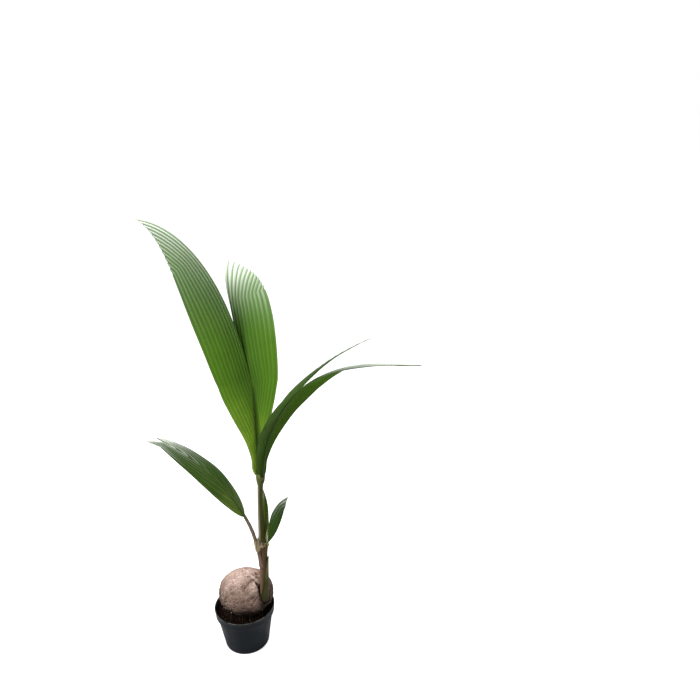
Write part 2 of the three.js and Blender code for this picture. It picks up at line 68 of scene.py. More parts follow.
# Leaves, by the same rules as the solids: a stalk that runs on as the midrib, and two halves
# that part where it ends. Lift is the angle above level and turn the direction from above.
# Face is where the upper side looks, and crown how far a half is cupped. Reach is the length
# over which a direction is smoothed. Stout says how much thicker the stalk is at its foot, lean
# how far it bends from its line there, and sheath_from how low its sheath leaves the stem.
# Of a half, slits says where leaflets part and tooth how far their ends stand out. Painted highlight
# is a pale sheen painted into the colour: where it starts on the outer and inner pleats, how strong
# it ends there, and a painted haze of it on the inner ones. Painted midrib shade is the shade painted
# beside the midrib, and deep how wide that is. Fresh and painted light is a young leaf's yellow,
# painted paler to stand in for light where a half lies in shade, painted tip gloss a gloss highlight
# painted towards the tip, web the skin in the fork, and crowd how close the inner pleats stand.
# Fuller adds width: how much, round which distance, and how far.
LEAVES = {
    "left_leaf": {
        "stalk": {
            "start": (63.9, -45.9, 388.1), "length": 111.7, "lift": (85.6, 50.5), "turn": (144, 144),
            "bend": 0.83,
        },
        "midrib": {"length": 337, "lift": (64.2, 29.3), "turn": (168.6, 175.3)},
        "face": (60.4, -0.8), "radii": (4.6, 4.2, 0.9), "pleats": 8, "crown": 4, "reach": 80,
        "stout": 1.4, "sheath_from": 318,
        "halves": {
            "near_half": {
                "side": -1, "run": {"length": 51.4, "lift": (11.5, -5.8), "turn": (179, 170.6)},
                "fold": (-11.8, -11.4, -13), "width": 55, "rise": 0.72, "fall": 0.89, "teeth": 0.86,
                "slits": (0.95, 0.985), "tooth": (2, 5), "bloom": (0.6, 0.6, 0.18, 0, 0.33), "trough": 0.3,
                "fresh": 0.05,
            },
            "far_half": {
                "side": 1, "run": {"length": 27.4, "lift": (31.5, 18.4), "turn": (166.8, 170.4)},
                "fold": (-11.1, -12.5, -12), "width": 81, "rise": 0.45, "fall": 0.67, "teeth": 0.86,
                "slits": (0.95, 0.985), "tooth": (2, 5), "bloom": (0.2, 0.45, 0.16, 0.3, 0.26), "trough": 0.5,
                "deep": (200, 0),
            },
        },
    },
    "small_leaf": {
        "stalk": {"start": (91.6, -19.2, 384), "length": 6, "lift": (86, 86), "turn": (37, 37)},
        "midrib": {"length": 67, "lift": (87.6, 78), "turn": (10.1, 9.4)},
        "face": (19.7, 212.8), "radii": (3.4, 3.2, 1.2), "pleats": 4, "crown": 2, "reach": 40,
        "stout": 1.9, "lean": (-4.6, -6.0), "sheath_from": 352,
        "halves": {
            "left_lobe": {
                "side": -1, "run": {"length": 124, "lift": (83, 57.7), "turn": (74.4, 153.2), "bend": 1.2},
                "fold": (14, 6, 0), "width": 36, "rise": 0.9, "fall": 0.9, "teeth": 0.8,
                "slits": (0.96, 0.99), "tooth": (1, 4), "bloom": (0.7, 0.6, 0.2, 0.3, 0), "trough": 0.3,
                "fresh": 0.9,
            },
            "right_lobe": {
                "side": 1, "run": {"length": 131.6, "lift": (80, 31.8), "turn": (-11, -16), "bend": 1.19},
                "fold": (26.7, 10, -9), "width": 61, "rise": 0.9, "fall": 1, "teeth": 0.8,
                "slits": (0.97, 0.99), "tooth": (1, 2), "bloom": (0.7, 0.5, 0, 0.22, 0.12), "trough": 0.3,
                "pleat": 0.6,
            },
        },
    },
    "arching_leaf": {
        "stalk": {"start": (87.5, -11.8, 605.9), "length": 6.1, "lift": (85, 85), "turn": (-28, -28)},
        "midrib": {"length": 357, "lift": (85.3, 45.5), "turn": (-27.8, -18.9)},
        "face": (38.6, 146), "radii": (6.4, 6, 1.7), "pleats": 9, "crown": 3, "reach": 80,
        "halves": {
            "lower_lobe": {
                "side": -1, "run": {"length": 410, "lift": (43.4, 4.1), "turn": (-52.5, -16.2), "bend": 0.78},
                "fold": (-3.3, -13.1, -10.3), "width": 118, "rise": 1.38, "fall": 0.71, "teeth": 0.8,
                "slits": (0.97, 0.99), "tooth": (1, 3), "bloom": (0.55, 0.5, 0.3, 0.4, 0), "trough": 0.3,
                "painted_tip_gloss": (0.55, 0.64, 0.34), "fuller": ((9, 22, 26),),
            },
            "upper_lobe": {
                "side": 1, "run": {"length": 335, "lift": (49.5, 29.3), "turn": (-40, -39.5), "bend": 0.86},
                "fold": (-6.9, -5.2, 6.4), "width": 97, "rise": 0.99, "fall": 0.75, "teeth": 0.75,
                "slits": (0.97, 0.99), "tooth": (0, 1), "bloom": (0.5, 0.1, 0.28, 0.45, 0.03), "trough": 0.35,
                "pleat": 0.45, "deep": (26, 14), "painted_tip_gloss": (0.68, 0.86, 0.18),
            },
        },
    },
    "tall_leaf": {
        "stalk": {"start": (77.5, 1.4, 606), "length": 6, "lift": (84, 84), "turn": (87, 87)},
        "midrib": {"length": 293, "lift": (84, 76), "turn": (87, 106)},
        "face": (26, -100), "radii": (6.8, 6.4, 1.8), "pleats": 11, "crown": 5, "reach": 80,
        "halves": {
            "left_lobe": {
                "side": -1, "run": {"length": 643, "lift": (76, -2), "turn": (148, 152), "bend": 1.85},
                "fold": (17, 13, 0), "width": 112, "rise": 1.28, "fall": 1.16, "teeth": 0.74,
                "slits": (0.991, 0.997), "tooth": (0, 1), "bloom": (0.45, 0.05, 0.08, 0.4, 0), "trough": 0.45,
                "crowd": 1.35, "deep": (4, 10), "fuller": ((9, 22, 26), (-5, 115, 50), (11, 270, 100)),
            },
            "right_lobe": {
                "side": 1, "run": {"length": 452, "lift": (71, 13), "turn": (134, 90), "bend": 1.14},
                "fold": (23, 22, -16), "width": 121, "rise": 1.57, "fall": 0.89, "teeth": 0.72,
                "slits": (0.985, 0.995), "tooth": (0, 2), "bloom": (0.65, 0.3, 0.13, 0.64, 0), "trough": 0.9,
                "web": 12, "crowd": 1.5, "deep": (5, 34),
            },
        },
    },
}
# Blades. Seam is the gap beside the midrib, below zero where a half runs in under it, and closing
# how far past the fork it ends. A pleat's depth is a share of its width up to pleat_most, and near
# the leaf's base only pleat_low of that. Narrowing is how far a leaflet's end is drawn in, and
# web_run where the skin in a fork begins, is full, begins to end and is gone.
# Painted midrib shade is how wide the shade painted beside the midrib is at the fork, and how much wider
# towards the foot.
BLADE = {
    "seam": -1.4, "thickness": 0.6, "pleat_share": 0.17, "pleat_most": 3, "pleat_low": 0.36,
    "fold_spread": 0.14, "stalk_steps": 4, "midrib_steps": 12, "free_steps": 28, "closing": 60,
    "rows": 84, "wave": 1.3, "wave_size": 62, "rib_rise": 0.35, "web_run": (-30, 20, 60, 260),
    "trough": (4, 22), "pleats_deepen": (0.35, 0.72), "crowd_ends": (0.45, 0.9), "narrowing": 0.9,
}
# Where a strip of blade has its corners, in pleats from the rib in its middle.
STRIP = np.array([-0.5, -0.4, -0.25, -0.1, -0.04, 0, 0.04, 0.1, 0.25, 0.4, 0.5])
# Stalks: how deep a stalk is for its width, and how far it is tucked in below its foot.
STALK = {"rings": 90, "sides": 24, "depth_share": 0.85, "tuck": 16, "tuck_rings": 6}
# Torn collar at the stem's joint, and the scale at its foot between two turns that close in.
COLLAR = {"sides": 72, "rows": 7, "low": 394, "high": 398, "thickest": -158, "inner_radius": 14.2}
SCALE = {"from": 0.01, "to": 0.3, "foot": (-142, 42), "tip": (-30, 4), "columns": 20, "rows": 60}
# How many loose things there are.
LOOSE = {"collar": 170, "stalk": 230, "wraps": 150, "crumbs": 620, "grains": 16, "threads": 150, "roots": 220}


def mix(a, b, t):
    return a + (b - a) * t


def ease(low, high, value):
    t = np.clip((value - low) / (high - low), 0, 1)
    return t * t * (3 - 2 * t)


def unit(vectors):
    return vectors / np.linalg.norm(vectors, axis=-1, keepdims=True)


def heading(lift, turn):
    """Unit vectors for lifts above level and turns seen from above."""
    lift, turn = np.broadcast_arrays(np.radians(lift), np.radians(turn))
    return np.stack([np.cos(lift) * np.cos(turn), np.cos(lift) * np.sin(turn), np.sin(lift)], -1)


def lumps(places, size, seed=0.0):
    """Smooth noise from about -1 to 1, with lumps of that size."""
    return np.array([noise.noise(Vector(p) / size + Vector((seed, -seed, seed))) for p in places.tolist()])


def creases(places, size, seed=0.0):
    """Noise with sharp ridges, from 0 in the hollows to 1 on a ridge."""
    return 1 - np.abs(lumps(places, size, seed)) * 2


# Meshes


def make_piece(name, corners, faces, finishes, **fields):
    """A smooth mesh from corners in millimetres, with fields at them for its finish to read."""
    mesh = bpy.data.meshes.new(name)
    mesh.from_pydata((np.asarray(corners, float) * MM).tolist(), [], faces)
    for field, values in fields.items():
        layer = mesh.attributes.new(field, "FLOAT", "POINT")
        layer.data.foreach_set("value", np.asarray(values, np.float32).ravel())
    for finish in finishes:
        mesh.materials.append(finish)
    mesh.shade_smooth()
    piece = bpy.data.objects.new(name, mesh)
    bpy.context.scene.collection.objects.link(piece)
    return piece


def settle(piece, slot, *nodes):
    """The piece rides on the plant's one body and stands for those solids. The slot is not used."""
    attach(piece, "root")
    if nodes:
        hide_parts(*nodes)


def grid_faces(rows, columns, wrap, start=0):
    """Faces of a grid of corners, row after row, closed round each row where wrap is true."""
    faces = []
    for j in range(rows - 1):
        for i in range(columns if wrap else columns - 1):
            k = (i + 1) % columns
            faces.append([start + j * columns + i, start + j * columns + k,
                          start + (j + 1) * columns + k, start + (j + 1) * columns + i])
    return faces


def loft(rings):
    """Corners and faces of a closed body through rings of equal count, with a fan at each end."""
    count, sides = rings.shape[:2]
    corners = np.concatenate([rings.reshape(-1, 3), rings[:1].mean(1), rings[-1:].mean(1)])
    faces = grid_faces(count, sides, True)
    last = (count - 1) * sides
    for i in range(sides):
        k = (i + 1) % sides
        faces.append([k, i, count * sides])
        faces.append([last + i, last + k, count * sides + 1])
    return corners, faces


def over_rings(values, sides):
    """One number per ring, given to all its corners and to the two end middles."""
    values = np.asarray(values, float)
    return np.concatenate([np.repeat(values, sides), values[:1], values[-1:]])


def round_rings(values):
    """One number per ring and side, with the two end middles added."""
    return np.concatenate([values.ravel(), values[:1].mean(1), values[-1:].mean(1)])


def turns(count, start=0.0):
    """Angles, in radians, that go once round from a start."""
    return 2 * np.pi * np.arange(count) / count + start


def ring(angle, radius, height):
    """Corners round the upright axis."""
    return np.stack([radius * np.cos(angle), radius * np.sin(angle), height + 0.0 * angle], -1)


# Leaf shapes


def walk(start, run, steps):
    """Points along a run whose lift and turn change evenly, but for its bend."""
    share = (np.arange(steps) + 0.5) / steps
    way = heading(mix(*run["lift"], share ** run.get("bend", 1)), mix(*run["turn"], share))
    return np.vstack([start, start + np.cumsum(way * run["length"] / steps, 0)])


class Line:
    """A line through points, with its place and its smoothed direction at any distance."""

    def __init__(self, points, reach):
        self.points = points
        self.reach = reach
        self.marks = np.concatenate([[0], np.cumsum(np.linalg.norm(np.diff(points, axis=0), axis=1))])
        self.length = self.marks[-1]

    def at(self, distance):
        far = np.clip(distance, 0, self.length)
        return np.stack([np.interp(far, self.marks, self.points[:, k]) for k in range(3)], -1)

    def way(self, distance):
        return unit(self.at(distance + self.reach) - self.at(distance - self.reach))


def leaf_points(leaf):
    stalk = walk(np.array(leaf["stalk"]["start"], float), leaf["stalk"], BLADE["stalk_steps"])
    return stalk, walk(stalk[-1], leaf["midrib"], BLADE["midrib_steps"])


def leaf_frame(way, face):
    """Directions across a leaf and out of its upper side, square to the way it runs."""
    towards = heading(*face)
    up = unit(towards - way * (way @ towards)[:, None])
    return np.cross(way, up), up


def midrib_radius(leaf, distance):
    _, base, tip = leaf["radii"]
    return mix(base, tip, np.clip(distance / leaf["midrib"]["length"], 0, 1))


def spread(u, rise, fall):
    """Width along a leaf, from none to 1 and back."""
    widest = rise / (rise + fall)
    u = np.clip(u, 0, 1)
    return (u / widest) ** rise * ((1 - u) / (1 - widest)) ** fall


class Half:
    """One half of a leaf: where a pleat's rib runs, and the surface between the ribs."""

    def __init__(self, leaf, half):
        _, midrib = leaf_points(leaf)
        free = walk(midrib[-1], half["run"], BLADE["free_steps"])
        self.leaf = leaf
        self.half = half
        self.line = Line(np.vstack([midrib, free[1:]]), leaf["reach"])
        self.fork = leaf["midrib"]["length"] / self.line.length
        self.pleats = leaf["pleats"]

    def share_along(self, rib, v):
        """Share of the whole leaf at a share of one rib."""
        first = self.fork * rib / self.pleats
        last = mix(self.half["teeth"], 1, rib / self.pleats)
        return mix(first, last, v)

    def fold(self, u):
        """How far the half is raised from the leaf's face, smoothed along it."""
        steps = BLADE["fold_spread"] * np.array([-1, 0, 1])
        raised = [np.interp(u + step, [0, self.fork, 1], self.half["fold"]) for step in steps]
        return np.radians(sum(raised) / 3)

    def width(self, u):
        wide = self.half["width"] * spread(u, self.half["rise"], self.half["fall"])
        for extra, middle, run in self.half.get("fuller", ()):
            wide = wide + extra * np.exp(-(((u * self.line.length - middle) / run) ** 2))
        return wide

    def surface(self, rib, u):
        """Places on the blade, its upward direction, the pleat's depth, the margin's distance, and the
        painted shade beside the midrib.
        """
        leaf, half, line = self.leaf, self.half, self.line
        distance = u * line.length
        beyond = distance - leaf["midrib"]["length"]
        across, up = leaf_frame(line.way(distance), leaf["face"])
        fold = self.fold(u)[:, None]
        out = half["side"] * np.cos(fold) * across + np.sin(fold) * up
        above = np.cos(fold) * up - half["side"] * np.sin(fold) * across
        started = self.pleats * np.minimum(1, u / self.fork)
        ended = self.pleats * np.clip((u - half["teeth"]) / (1 - half["teeth"]), 0, 1)
        opened = np.maximum(started - ended, 1e-6)
        share = np.clip((started - rib) / opened, 0, 1)
        share = share ** mix(half.get("crowd", 1), 1, ease(*BLADE["crowd_ends"], u))
        wide = self.width(u)
        closed = np.clip(beyond / BLADE["closing"], 0, 1)
        gap = (midrib_radius(leaf, distance) + BLADE["seam"]) * (1 - closed)
        cup = leaf["crown"] * 4 * share * (1 - share) * wide / half["width"]
        first, full, last, gone = BLADE["web_run"]
        web = half.get("web", 0) * ease(first, full, beyond) * ease(gone, last, beyond)
        reach = gap + wide * share - web * (1 - share) ** 3
        place = line.at(distance) + out * reach[:, None] + above * cup[:, None]
        pleat = np.minimum(BLADE["pleat_most"], wide / np.maximum(opened, 1) * BLADE["pleat_share"])
        pleat = pleat * mix(BLADE["pleat_low"], 1, ease(*BLADE["pleats_deepen"], u))
        # How wide the painted shade beside the midrib is, and where it fades past the fork.
        near, far = half.get("deep", BLADE["trough"])
        deep = near + far * np.clip(1 - u / self.fork, 0, 1)
        trough = ease(deep, 0.25 * deep, wide * share) * ease(self.fork + 0.05, self.fork - 0.02, u)
        return place, above, pleat * half.get("pleat", 1), wide * (1 - share), trough * half["trough"]


def pleat_strips(pleats, slits, teeth):
    """A half's corners strip by strip, each with its rib, share, tooth and mark, and its faces."""
    # The mark is the rib that a corner would be at if its leaflet didn't narrow to a tip.
    rows = BLADE["rows"]
    v = 1 - (1 - np.linspace(0, 1, rows)) ** 1.12
    columns = []
    faces = []
    last = None
    total = 0
    for i in range(pleats + 1):
        inside = STRIP[(i + STRIP > -1e-6) & (i + STRIP < pleats + 1e-6)]
        strip = np.zeros((rows, len(inside)), int)
        for c, fraction in enumerate(inside):
            slit = slits[i] if fraction < 0 else slits[i + 1]
            parted = v > slit
            pinch = np.clip((v - slit) / (1 - slit), 0, 1)
            new = np.arange(rows)
            if c == 0 and i > 0:
                strip[~parted, 0] = last[~parted]
                new = new[parted]
            strip[new, c] = total + np.arange(len(new))
            total += len(new)
            rib = i + fraction * (1 - BLADE["narrowing"] * pinch[new] ** 1.4)
            tooth = teeth[i] * ease(0.9, 1, v[new]) * (1 - np.abs(fraction))
            columns.append(np.stack([rib, v[new], tooth, np.full(len(new), i + fraction)], 1))
        last = strip[:, -1]
        faces += [[strip[j, c], strip[j, c + 1], strip[j + 1, c + 1], strip[j + 1, c]]
                  for j in range(rows - 1) for c in range(len(inside) - 1)]
    return np.vstack(columns).T, faces


def highlight_paint(half, inward, mark, v, u):
    """How strong the painted highlight on a half is, more towards its end, from its painted sheen and its
    painted tip gloss.
    """
    start_out, start_in, most_out, most_in, haze = half["bloom"]
    start = mix(start_out, start_in, inward ** 2)
    bloom = mix(most_out, most_in, inward ** 2) * np.clip((v - start) / (1 - start), 0, 1) ** 2
    bloom += haze * inward ** 3 * ease(0.35, 0.75, u)
    bloom *= mix(0.3, 1, ease(0, 0.6, mark))
    low, high, amount = half.get("painted_tip_gloss", (0, 1, 0))
    return bloom + amount * ease(low, high, u)


def blade(name, leaf, half, finishes, seed):
    """A half of a leaf as a thin pleated sheet whose leaflets come apart at their ends."""
    rng = np.random.default_rng(seed)
    shape = Half(leaf, half)
    pleats = shape.pleats
    slits = rng.uniform(*half["slits"], pleats + 2)
    teeth = rng.uniform(*half["tooth"], pleats + 1)
    swell = rng.uniform(0.8, 1.15, pleats + 1)
    (rib, v, tooth, mark), faces = pleat_strips(pleats, slits, teeth)
    u = shape.share_along(rib, v)
    place, above, pleat, edge, trough = shape.surface(rib, u)
    back = shape.surface(rib, shape.share_along(rib, v - 0.01))[0]
    place = place + unit(place - back + 1e-9) * tooth[:, None]
    saw = 4 * np.abs(rib % 1 - 0.5) - 1
    wave = 0.7 * saw + 0.3 * np.cos(2 * np.pi * rib)
    held = ease(0, 0.5, rib) * ease(0, 0.5, pleats - rib)
    start = mix(0.2, 1, np.clip(v / 0.15, 0, 1))
    lift = pleat * wave * held * start * np.interp(rib, np.arange(pleats + 1), swell)
    lift += BLADE["rib_rise"] * ease(0.08, 0, np.abs((rib + 0.5) % 1 - 0.5)) * held
    lift += BLADE["wave"] * lumps(place, BLADE["wave_size"], seed) * ease(0, 0.12, v)
    place = place + above * lift[:, None]
    if half["side"] > 0:
        faces = [face[::-1] for face in faces]
    inward = mark / pleats
    fresh = np.full(len(u), half.get("fresh", 0))
    piece = make_piece(
        name, place, faces, finishes, rib=mark, inward=inward, run=u, edge=edge,
        bloom=highlight_paint(half, inward, mark, v, u), trough=trough, fresh=fresh)
    thick = piece.modifiers.new("thickness", "SOLIDIFY")
    thick.thickness = BLADE["thickness"] * MM
    thick.offset = 0
    thick.material_offset = 1
    return piece


def stalk_root(centre, across, up, wide, deep):
    """Rings that carry a stalk's foot down into its sheath, towards the middle of the stem."""
    count = STALK["tuck_rings"]
    below = np.linspace(STALK["tuck"], 0, count, endpoint=False)
    share = below / STALK["tuck"]
    inner = np.array([stem_at(centre[2] - drop)[0] for drop in below])
    straight = centre - below[:, None] * (0, 0, 1)
    shrink = mix(1, 0.6, share)
    return (mix(straight, inner, share[:, None] ** 0.7), np.tile(across, (count, 1)),
            np.tile(up, (count, 1)), shrink * wide, shrink * deep)


def midrib(name, leaf, finish):
    """The stalk and midrib as one grooved, keeled tube that comes out of its sheath."""
    stalk, rib = leaf_points(leaf)
    line = Line(np.vstack([stalk, rib[1:]]), leaf["reach"] / 2)
    shank = leaf["stalk"]["length"]
    distance = np.linspace(0, line.length, STALK["rings"])
    foot, base, _ = leaf["radii"]
    wide = mix(foot, base, distance / shank)
    wide = np.where(distance < shank, wide, midrib_radius(leaf, distance - shank))
    wide = wide * ease(line.length + 1, line.length - 14, distance) ** 0.5
    wide = wide * mix(leaf.get("stout", 1.1), 1, ease(0.6 * shank, shank + 60, distance))
    across, up = leaf_frame(line.way(distance), leaf["face"])
    lean = np.append(leaf.get("lean", (0, 0)), 0)
    centre = line.at(distance) + lean * (ease(0, 12, distance) * ease(72, 36, distance))[:, None]
    rings = (centre, across, up, wide, wide * STALK["depth_share"])
    if "sheath_from" in leaf:
        lead = sheath_tongue(leaf, leaf["sheath_from"])
        count = len(lead[0])
        sheath = np.concatenate([np.linspace(1, 0.3, count), 0.3 * ease(30, 0, distance)])
    else:
        lead = stalk_root(*(part[0] for part in rings))
        count = len(lead[0])
        sheath = np.zeros(count + STALK["rings"])
    centre, across, up, wide, deep = (np.concatenate(pair) for pair in zip(lead, rings))
    distance = np.concatenate([np.zeros(count), distance])
    angle = turns(STALK["sides"])
    groove = 1 - 0.16 * np.exp(-((angle - np.pi / 2) / 0.35) ** 2)
    groove += 0.08 * np.exp(-((angle - 3 * np.pi / 2) / 0.4) ** 2)
    tube = centre[:, None] + up[:, None] * (deep[:, None] * np.sin(angle) * groove)[..., None]
    tube -= across[:, None] * (wide[:, None] * np.cos(angle) * groove)[..., None]
    corners, faces = loft(tube)
    top = np.tile(np.sin(angle), (len(centre), 1))
    flank = np.tile(-np.cos(angle), (len(centre), 1))
    return make_piece(
        name, corners, faces, [finish], top=round_rings(top), flank=round_rings(flank),
        along=over_rings(distance, STALK["sides"]), sheath=over_rings(sheath, STALK["sides"]))


# Stem shapes


def stem_place(share):
    """Centre and radius at a share of the stem, by a centripetal curve through its stations."""
    points = np.array([place for place, _ in STEM], float)
    points = np.vstack([2 * points[0] - points[1], points, 2 * points[-1] - points[-2]])
    place = np.clip(share, 0, 1) * (len(STEM) - 1)
    low = min(int(place), len(STEM) - 2)
    t = place - low
    p0, p1, p2, p3 = points[low:low + 4]
    d0, d1, d2 = (np.linalg.norm(b - a) ** 0.5 for a, b in ((p0, p1), (p1, p2), (p2, p3)))
    leave = ((p1 - p0) / d0 - (p2 - p0) / (d0 + d1) + (p2 - p1) / d1) * d1
    reach = ((p2 - p1) / d1 - (p3 - p1) / (d1 + d2) + (p3 - p2) / d2) * d1
    centre = (p1 + leave * t + (-3 * p1 + 3 * p2 - 2 * leave - reach) * t ** 2
              + (2 * p1 - 2 * p2 + leave + reach) * t ** 3)
    radius = mix(STEM[low][1], STEM[low + 1][1], t * t * (3 - 2 * t))
    return centre, radius


STEM_TABLE = np.array([(*stem_place(share)[0], stem_place(share)[1]) for share in np.linspace(0, 1, 400)])


def stem_at(height):
    """Centre and radius of the stem at a height."""
    x, y, z, radius = (np.interp(height, STEM_TABLE[:, 2], STEM_TABLE[:, k]) for k in range(4))
    return np.array([x, y, z]), radius


def sheathed_stem(finish):
    """The stem from its foot to the mouth of the last sheath, with overlapping sheath edges."""
    sides = 64
    angle = turns(sides, np.pi / 2)
    rings = []
    height = []
    lap = []
    for share in np.linspace(0, 1, 150):
        centre, radius = stem_place(share)
        if share == 0:
            centre = centre - (0, 0, 0.2)
        wrap = np.radians(-60 + 0.32 * (centre[2] - STEM_FOOT))
        past = (angle - wrap) % (2 * np.pi)
        step = 0.9 * np.exp(-past * 1.1) * ease(0, 0.06, past)
        radius = radius + 1.2 * ease(590, 606, centre[2])
        swell = 1 + 0.012 * np.sin(angle * 5 + share * 9) + 0.006 * np.sin(angle * 17 + share * 30)
        rings.append(centre + ring(angle, radius * swell - 0.5 + step, 0))
        height.append(centre[2])
        lap.append(np.exp(-past * 9) + np.exp(-(2 * np.pi - past) * 9))
    mouth_line = unit(np.array(MOUTH["line"]))
    flat = ring(angle, 1, 0)
    along = flat @ mouth_line
    sideways = flat @ np.array([-mouth_line[1], mouth_line[0], 0])
    for rise in MOUTH["rises"]:
        opened = rise / MOUTH["rises"][-1]
        centre = np.array(MOUTH["place"]) + rise * np.array([0.03, -0.02, 1])
        long, short = mix(*MOUTH["long"], opened), mix(*MOUTH["short"], opened)
        size = 1 / np.sqrt((along / long) ** 2 + (sideways / short) ** 2)
        torn = centre + size[:, None] * flat
        torn[:, 2] += MOUTH["ragged"] * opened * lumps(ring(angle, 9, 3.0), 3.0)
        rings.append(torn)
        height.append(centre[2])
        lap.append(np.full(sides, 0.2 * opened))
    corners, faces = loft(np.array(rings))
    facing_x, facing_y = (round_rings(np.tile(flat[:, k], (len(rings), 1))) for k in (0, 1))
    return make_piece(
        "stem_sheaths", corners, faces, [finish], height=over_rings(height, sides),
        lap=round_rings(np.array(lap)), facing_x=facing_x, facing_y=facing_y)


def sheath_tongue(leaf, low, steps=14):
    """Rings for the base of a stalk where it lies along the stem and spreads into its sheath."""
    stalk, _ = leaf_points(leaf)
    foot = stalk[0]
    centre, _ = stem_at(foot[2])
    side = foot - centre
    stand = np.hypot(side[0], side[1])
    turn = math.degrees(math.atan2(side[1], side[0]))
    heights = np.linspace(low, foot[2], steps, endpoint=False)
    share = (heights - low) / (foot[2] - low)
    out = heading(0, turn)
    places, wides, deeps = [], [], []
    for z, t in zip(heights, share):
        middle, girth = stem_at(z)
        away = mix(girth - 3.2, stand, t ** 1.6)
        places.append(middle + out * away)
        wides.append(mix(9.5, leaf["radii"][0] * 1.2, t))
        deeps.append(max(mix(3.4, leaf["radii"][0] * 0.95, t ** 0.8), away - girth + 0.8))
    across = np.tile(np.cross((0, 0, 1.0), out), (steps, 1))
    up = np.tile(-out, (steps, 1))
    return np.array(places), across, up, np.array(wides), np.array(deeps)


def strands(name, paths, radii, finish):
    """Many tapering three-sided fibres as one mesh. Radii are at each fibre's thickest."""
    corners, faces, runs, picks = [], [], [], []
    total = 0
    for number, (path, radius) in enumerate(zip(paths, radii)):
        path = np.asarray(path, float)
        count = len(path)
        way = unit(np.gradient(path, axis=0) + 1e-9)
        side = unit(np.cross(way, (0.31, 0.52, 0.79)))
        other = np.cross(way, side)
        taper = radius * np.sin(np.pi * np.linspace(0.12, 1, count)) ** 0.5
        taper[-1] = radius * 0.08
        for angle in (0, 2 * np.pi / 3, 4 * np.pi / 3):
            corners.append(path + (side * math.cos(angle) + other * math.sin(angle)) * taper[:, None])
        for k in range(3):
            m = (k + 1) % 3
            for j in range(count - 1):
                faces.append([total + k * count + j, total + m * count + j,
                              total + m * count + j + 1, total + k * count + j + 1])
        faces.append([total + 2 * count, total + count, total])
        faces.append([total + count - 1, total + 2 * count - 1, total + 3 * count - 1])
        runs.append(np.tile(np.linspace(0, 1, count), 3))
        picks.append(np.full(3 * count, (number * 0.618) % 1))
        total += 3 * count
    return make_piece(
        name, np.concatenate(corners), faces, [finish], run=np.concatenate(runs), pick=np.concatenate(picks))


def torn_collar(finish):
    """Ragged sheath ends round the joint of the stem, thickest at the left."""
    sides, rows = COLLAR["sides"], COLLAR["rows"]
    angle = turns(sides)
    thick = 0.5 + 0.5 * np.cos(angle - math.radians(COLLAR["thickest"]))
    ragged = np.abs(lumps(ring(angle, 7, 0), 2.2, 5.0))
    low = COLLAR["low"] - 6 * thick
    high = COLLAR["high"] + 4 * thick + 6 * ragged * (0.25 + 0.75 * thick)
    up = np.linspace(0, 1, rows)
    rings = []
    for t, outer in [(t, 0.5) for t in up] + [(t, 0) for t in up[::-1]]:
        for k, turn in enumerate(np.degrees(angle)):
            z = mix(low[k], high[k], t)
            centre, radius = stem_at(z)
            if z > JOINT:
                radius = max(radius, COLLAR["inner_radius"] - 0.06 * (z - JOINT))
            rings.append(centre + (radius + 0.3 + 1.6 * t ** 2 * thick[k] + outer) * heading(0, turn))
    faces = grid_faces(2 * rows, sides, True)
    last = (2 * rows - 1) * sides
    for i in range(sides):
        k = (i + 1) % sides
        faces.append([last + i, last + k, k, i])
    patchy = lumps(ring(angle, 14, 0), 4.5, 8.0)
    tone = np.clip(0.7 * thick ** 2.5 * (0.6 + 0.9 * patchy) + 0.04, 0, 1)
    steps = np.concatenate([up, up[::-1]])
    return make_piece("collar_sheath", rings, faces, [finish], run=np.repeat(steps, sides),
                      pick=np.tile(tone, 2 * rows))


def collar_fibres(finish):
    """Loose fibres that curl out of the collar, and more that wrap the left stalk beside it."""
    rng = np.random.default_rng(41)
    paths, radii = [], []
    for number in range(LOOSE["collar"]):
        turn = rng.normal(-150, 34) if number > 30 else rng.uniform(0, 360)
        foot = rng.uniform(386, 399)
        length = rng.uniform(5, 16)
        curl = rng.uniform(-60, 60)
        stand = rng.uniform(0.3, 4) * (1 if rng.random() < 0.75 else 1.8)
        path = []
        for t in np.linspace(0, 1, 7):
            z = foot + length * (t - 0.6 * t * t * (0.4 + stand / 6))
            centre, radius = stem_at(min(z, COLLAR["high"]))
            place = centre + (radius + 1 + stand * t ** 1.6) * heading(0, turn + curl * t ** 1.3)
            place[2] = z
            path.append(place)
        paths.append(path)
        radii.append(rng.uniform(0.2, 0.55))
    stalk, _ = leaf_points(LEAVES["left_leaf"])
    for number in range(LOOSE["stalk"]):
        wraps = number < LOOSE["wraps"]
        low = rng.uniform(378, 406) if wraps else rng.uniform(396, 408)
        high = low + rng.uniform(7, 20)
        turn, across = rng.uniform(-175, 20), rng.uniform(0.1, 1)
        stand = rng.uniform(0.2, 2.2)
        path = []
        for t in np.linspace(0, 1, 7):
            z = min(mix(low, high, t), 424)
            centre, radius = stem_at(z)
            at_stalk = np.array([np.interp(z, stalk[:, 2], stalk[:, k]) for k in range(3)])
            at_stem = centre + radius * heading(0, COLLAR["thickest"])
            if wraps:
                place = at_stalk + (6.6 + stand * t) * heading(0, turn + 25 * t)
            else:
                place = mix(at_stalk, at_stem, across) + (0, -3 - stand, 0)
            place = place + np.append(rng.normal(0, 0.3, 2), 0)
            place[2] = z
            path.append(place)
        paths.append(path)
        radii.append(rng.uniform(0.3, 0.65))
    return strands("collar_fibres", paths, radii, finish)


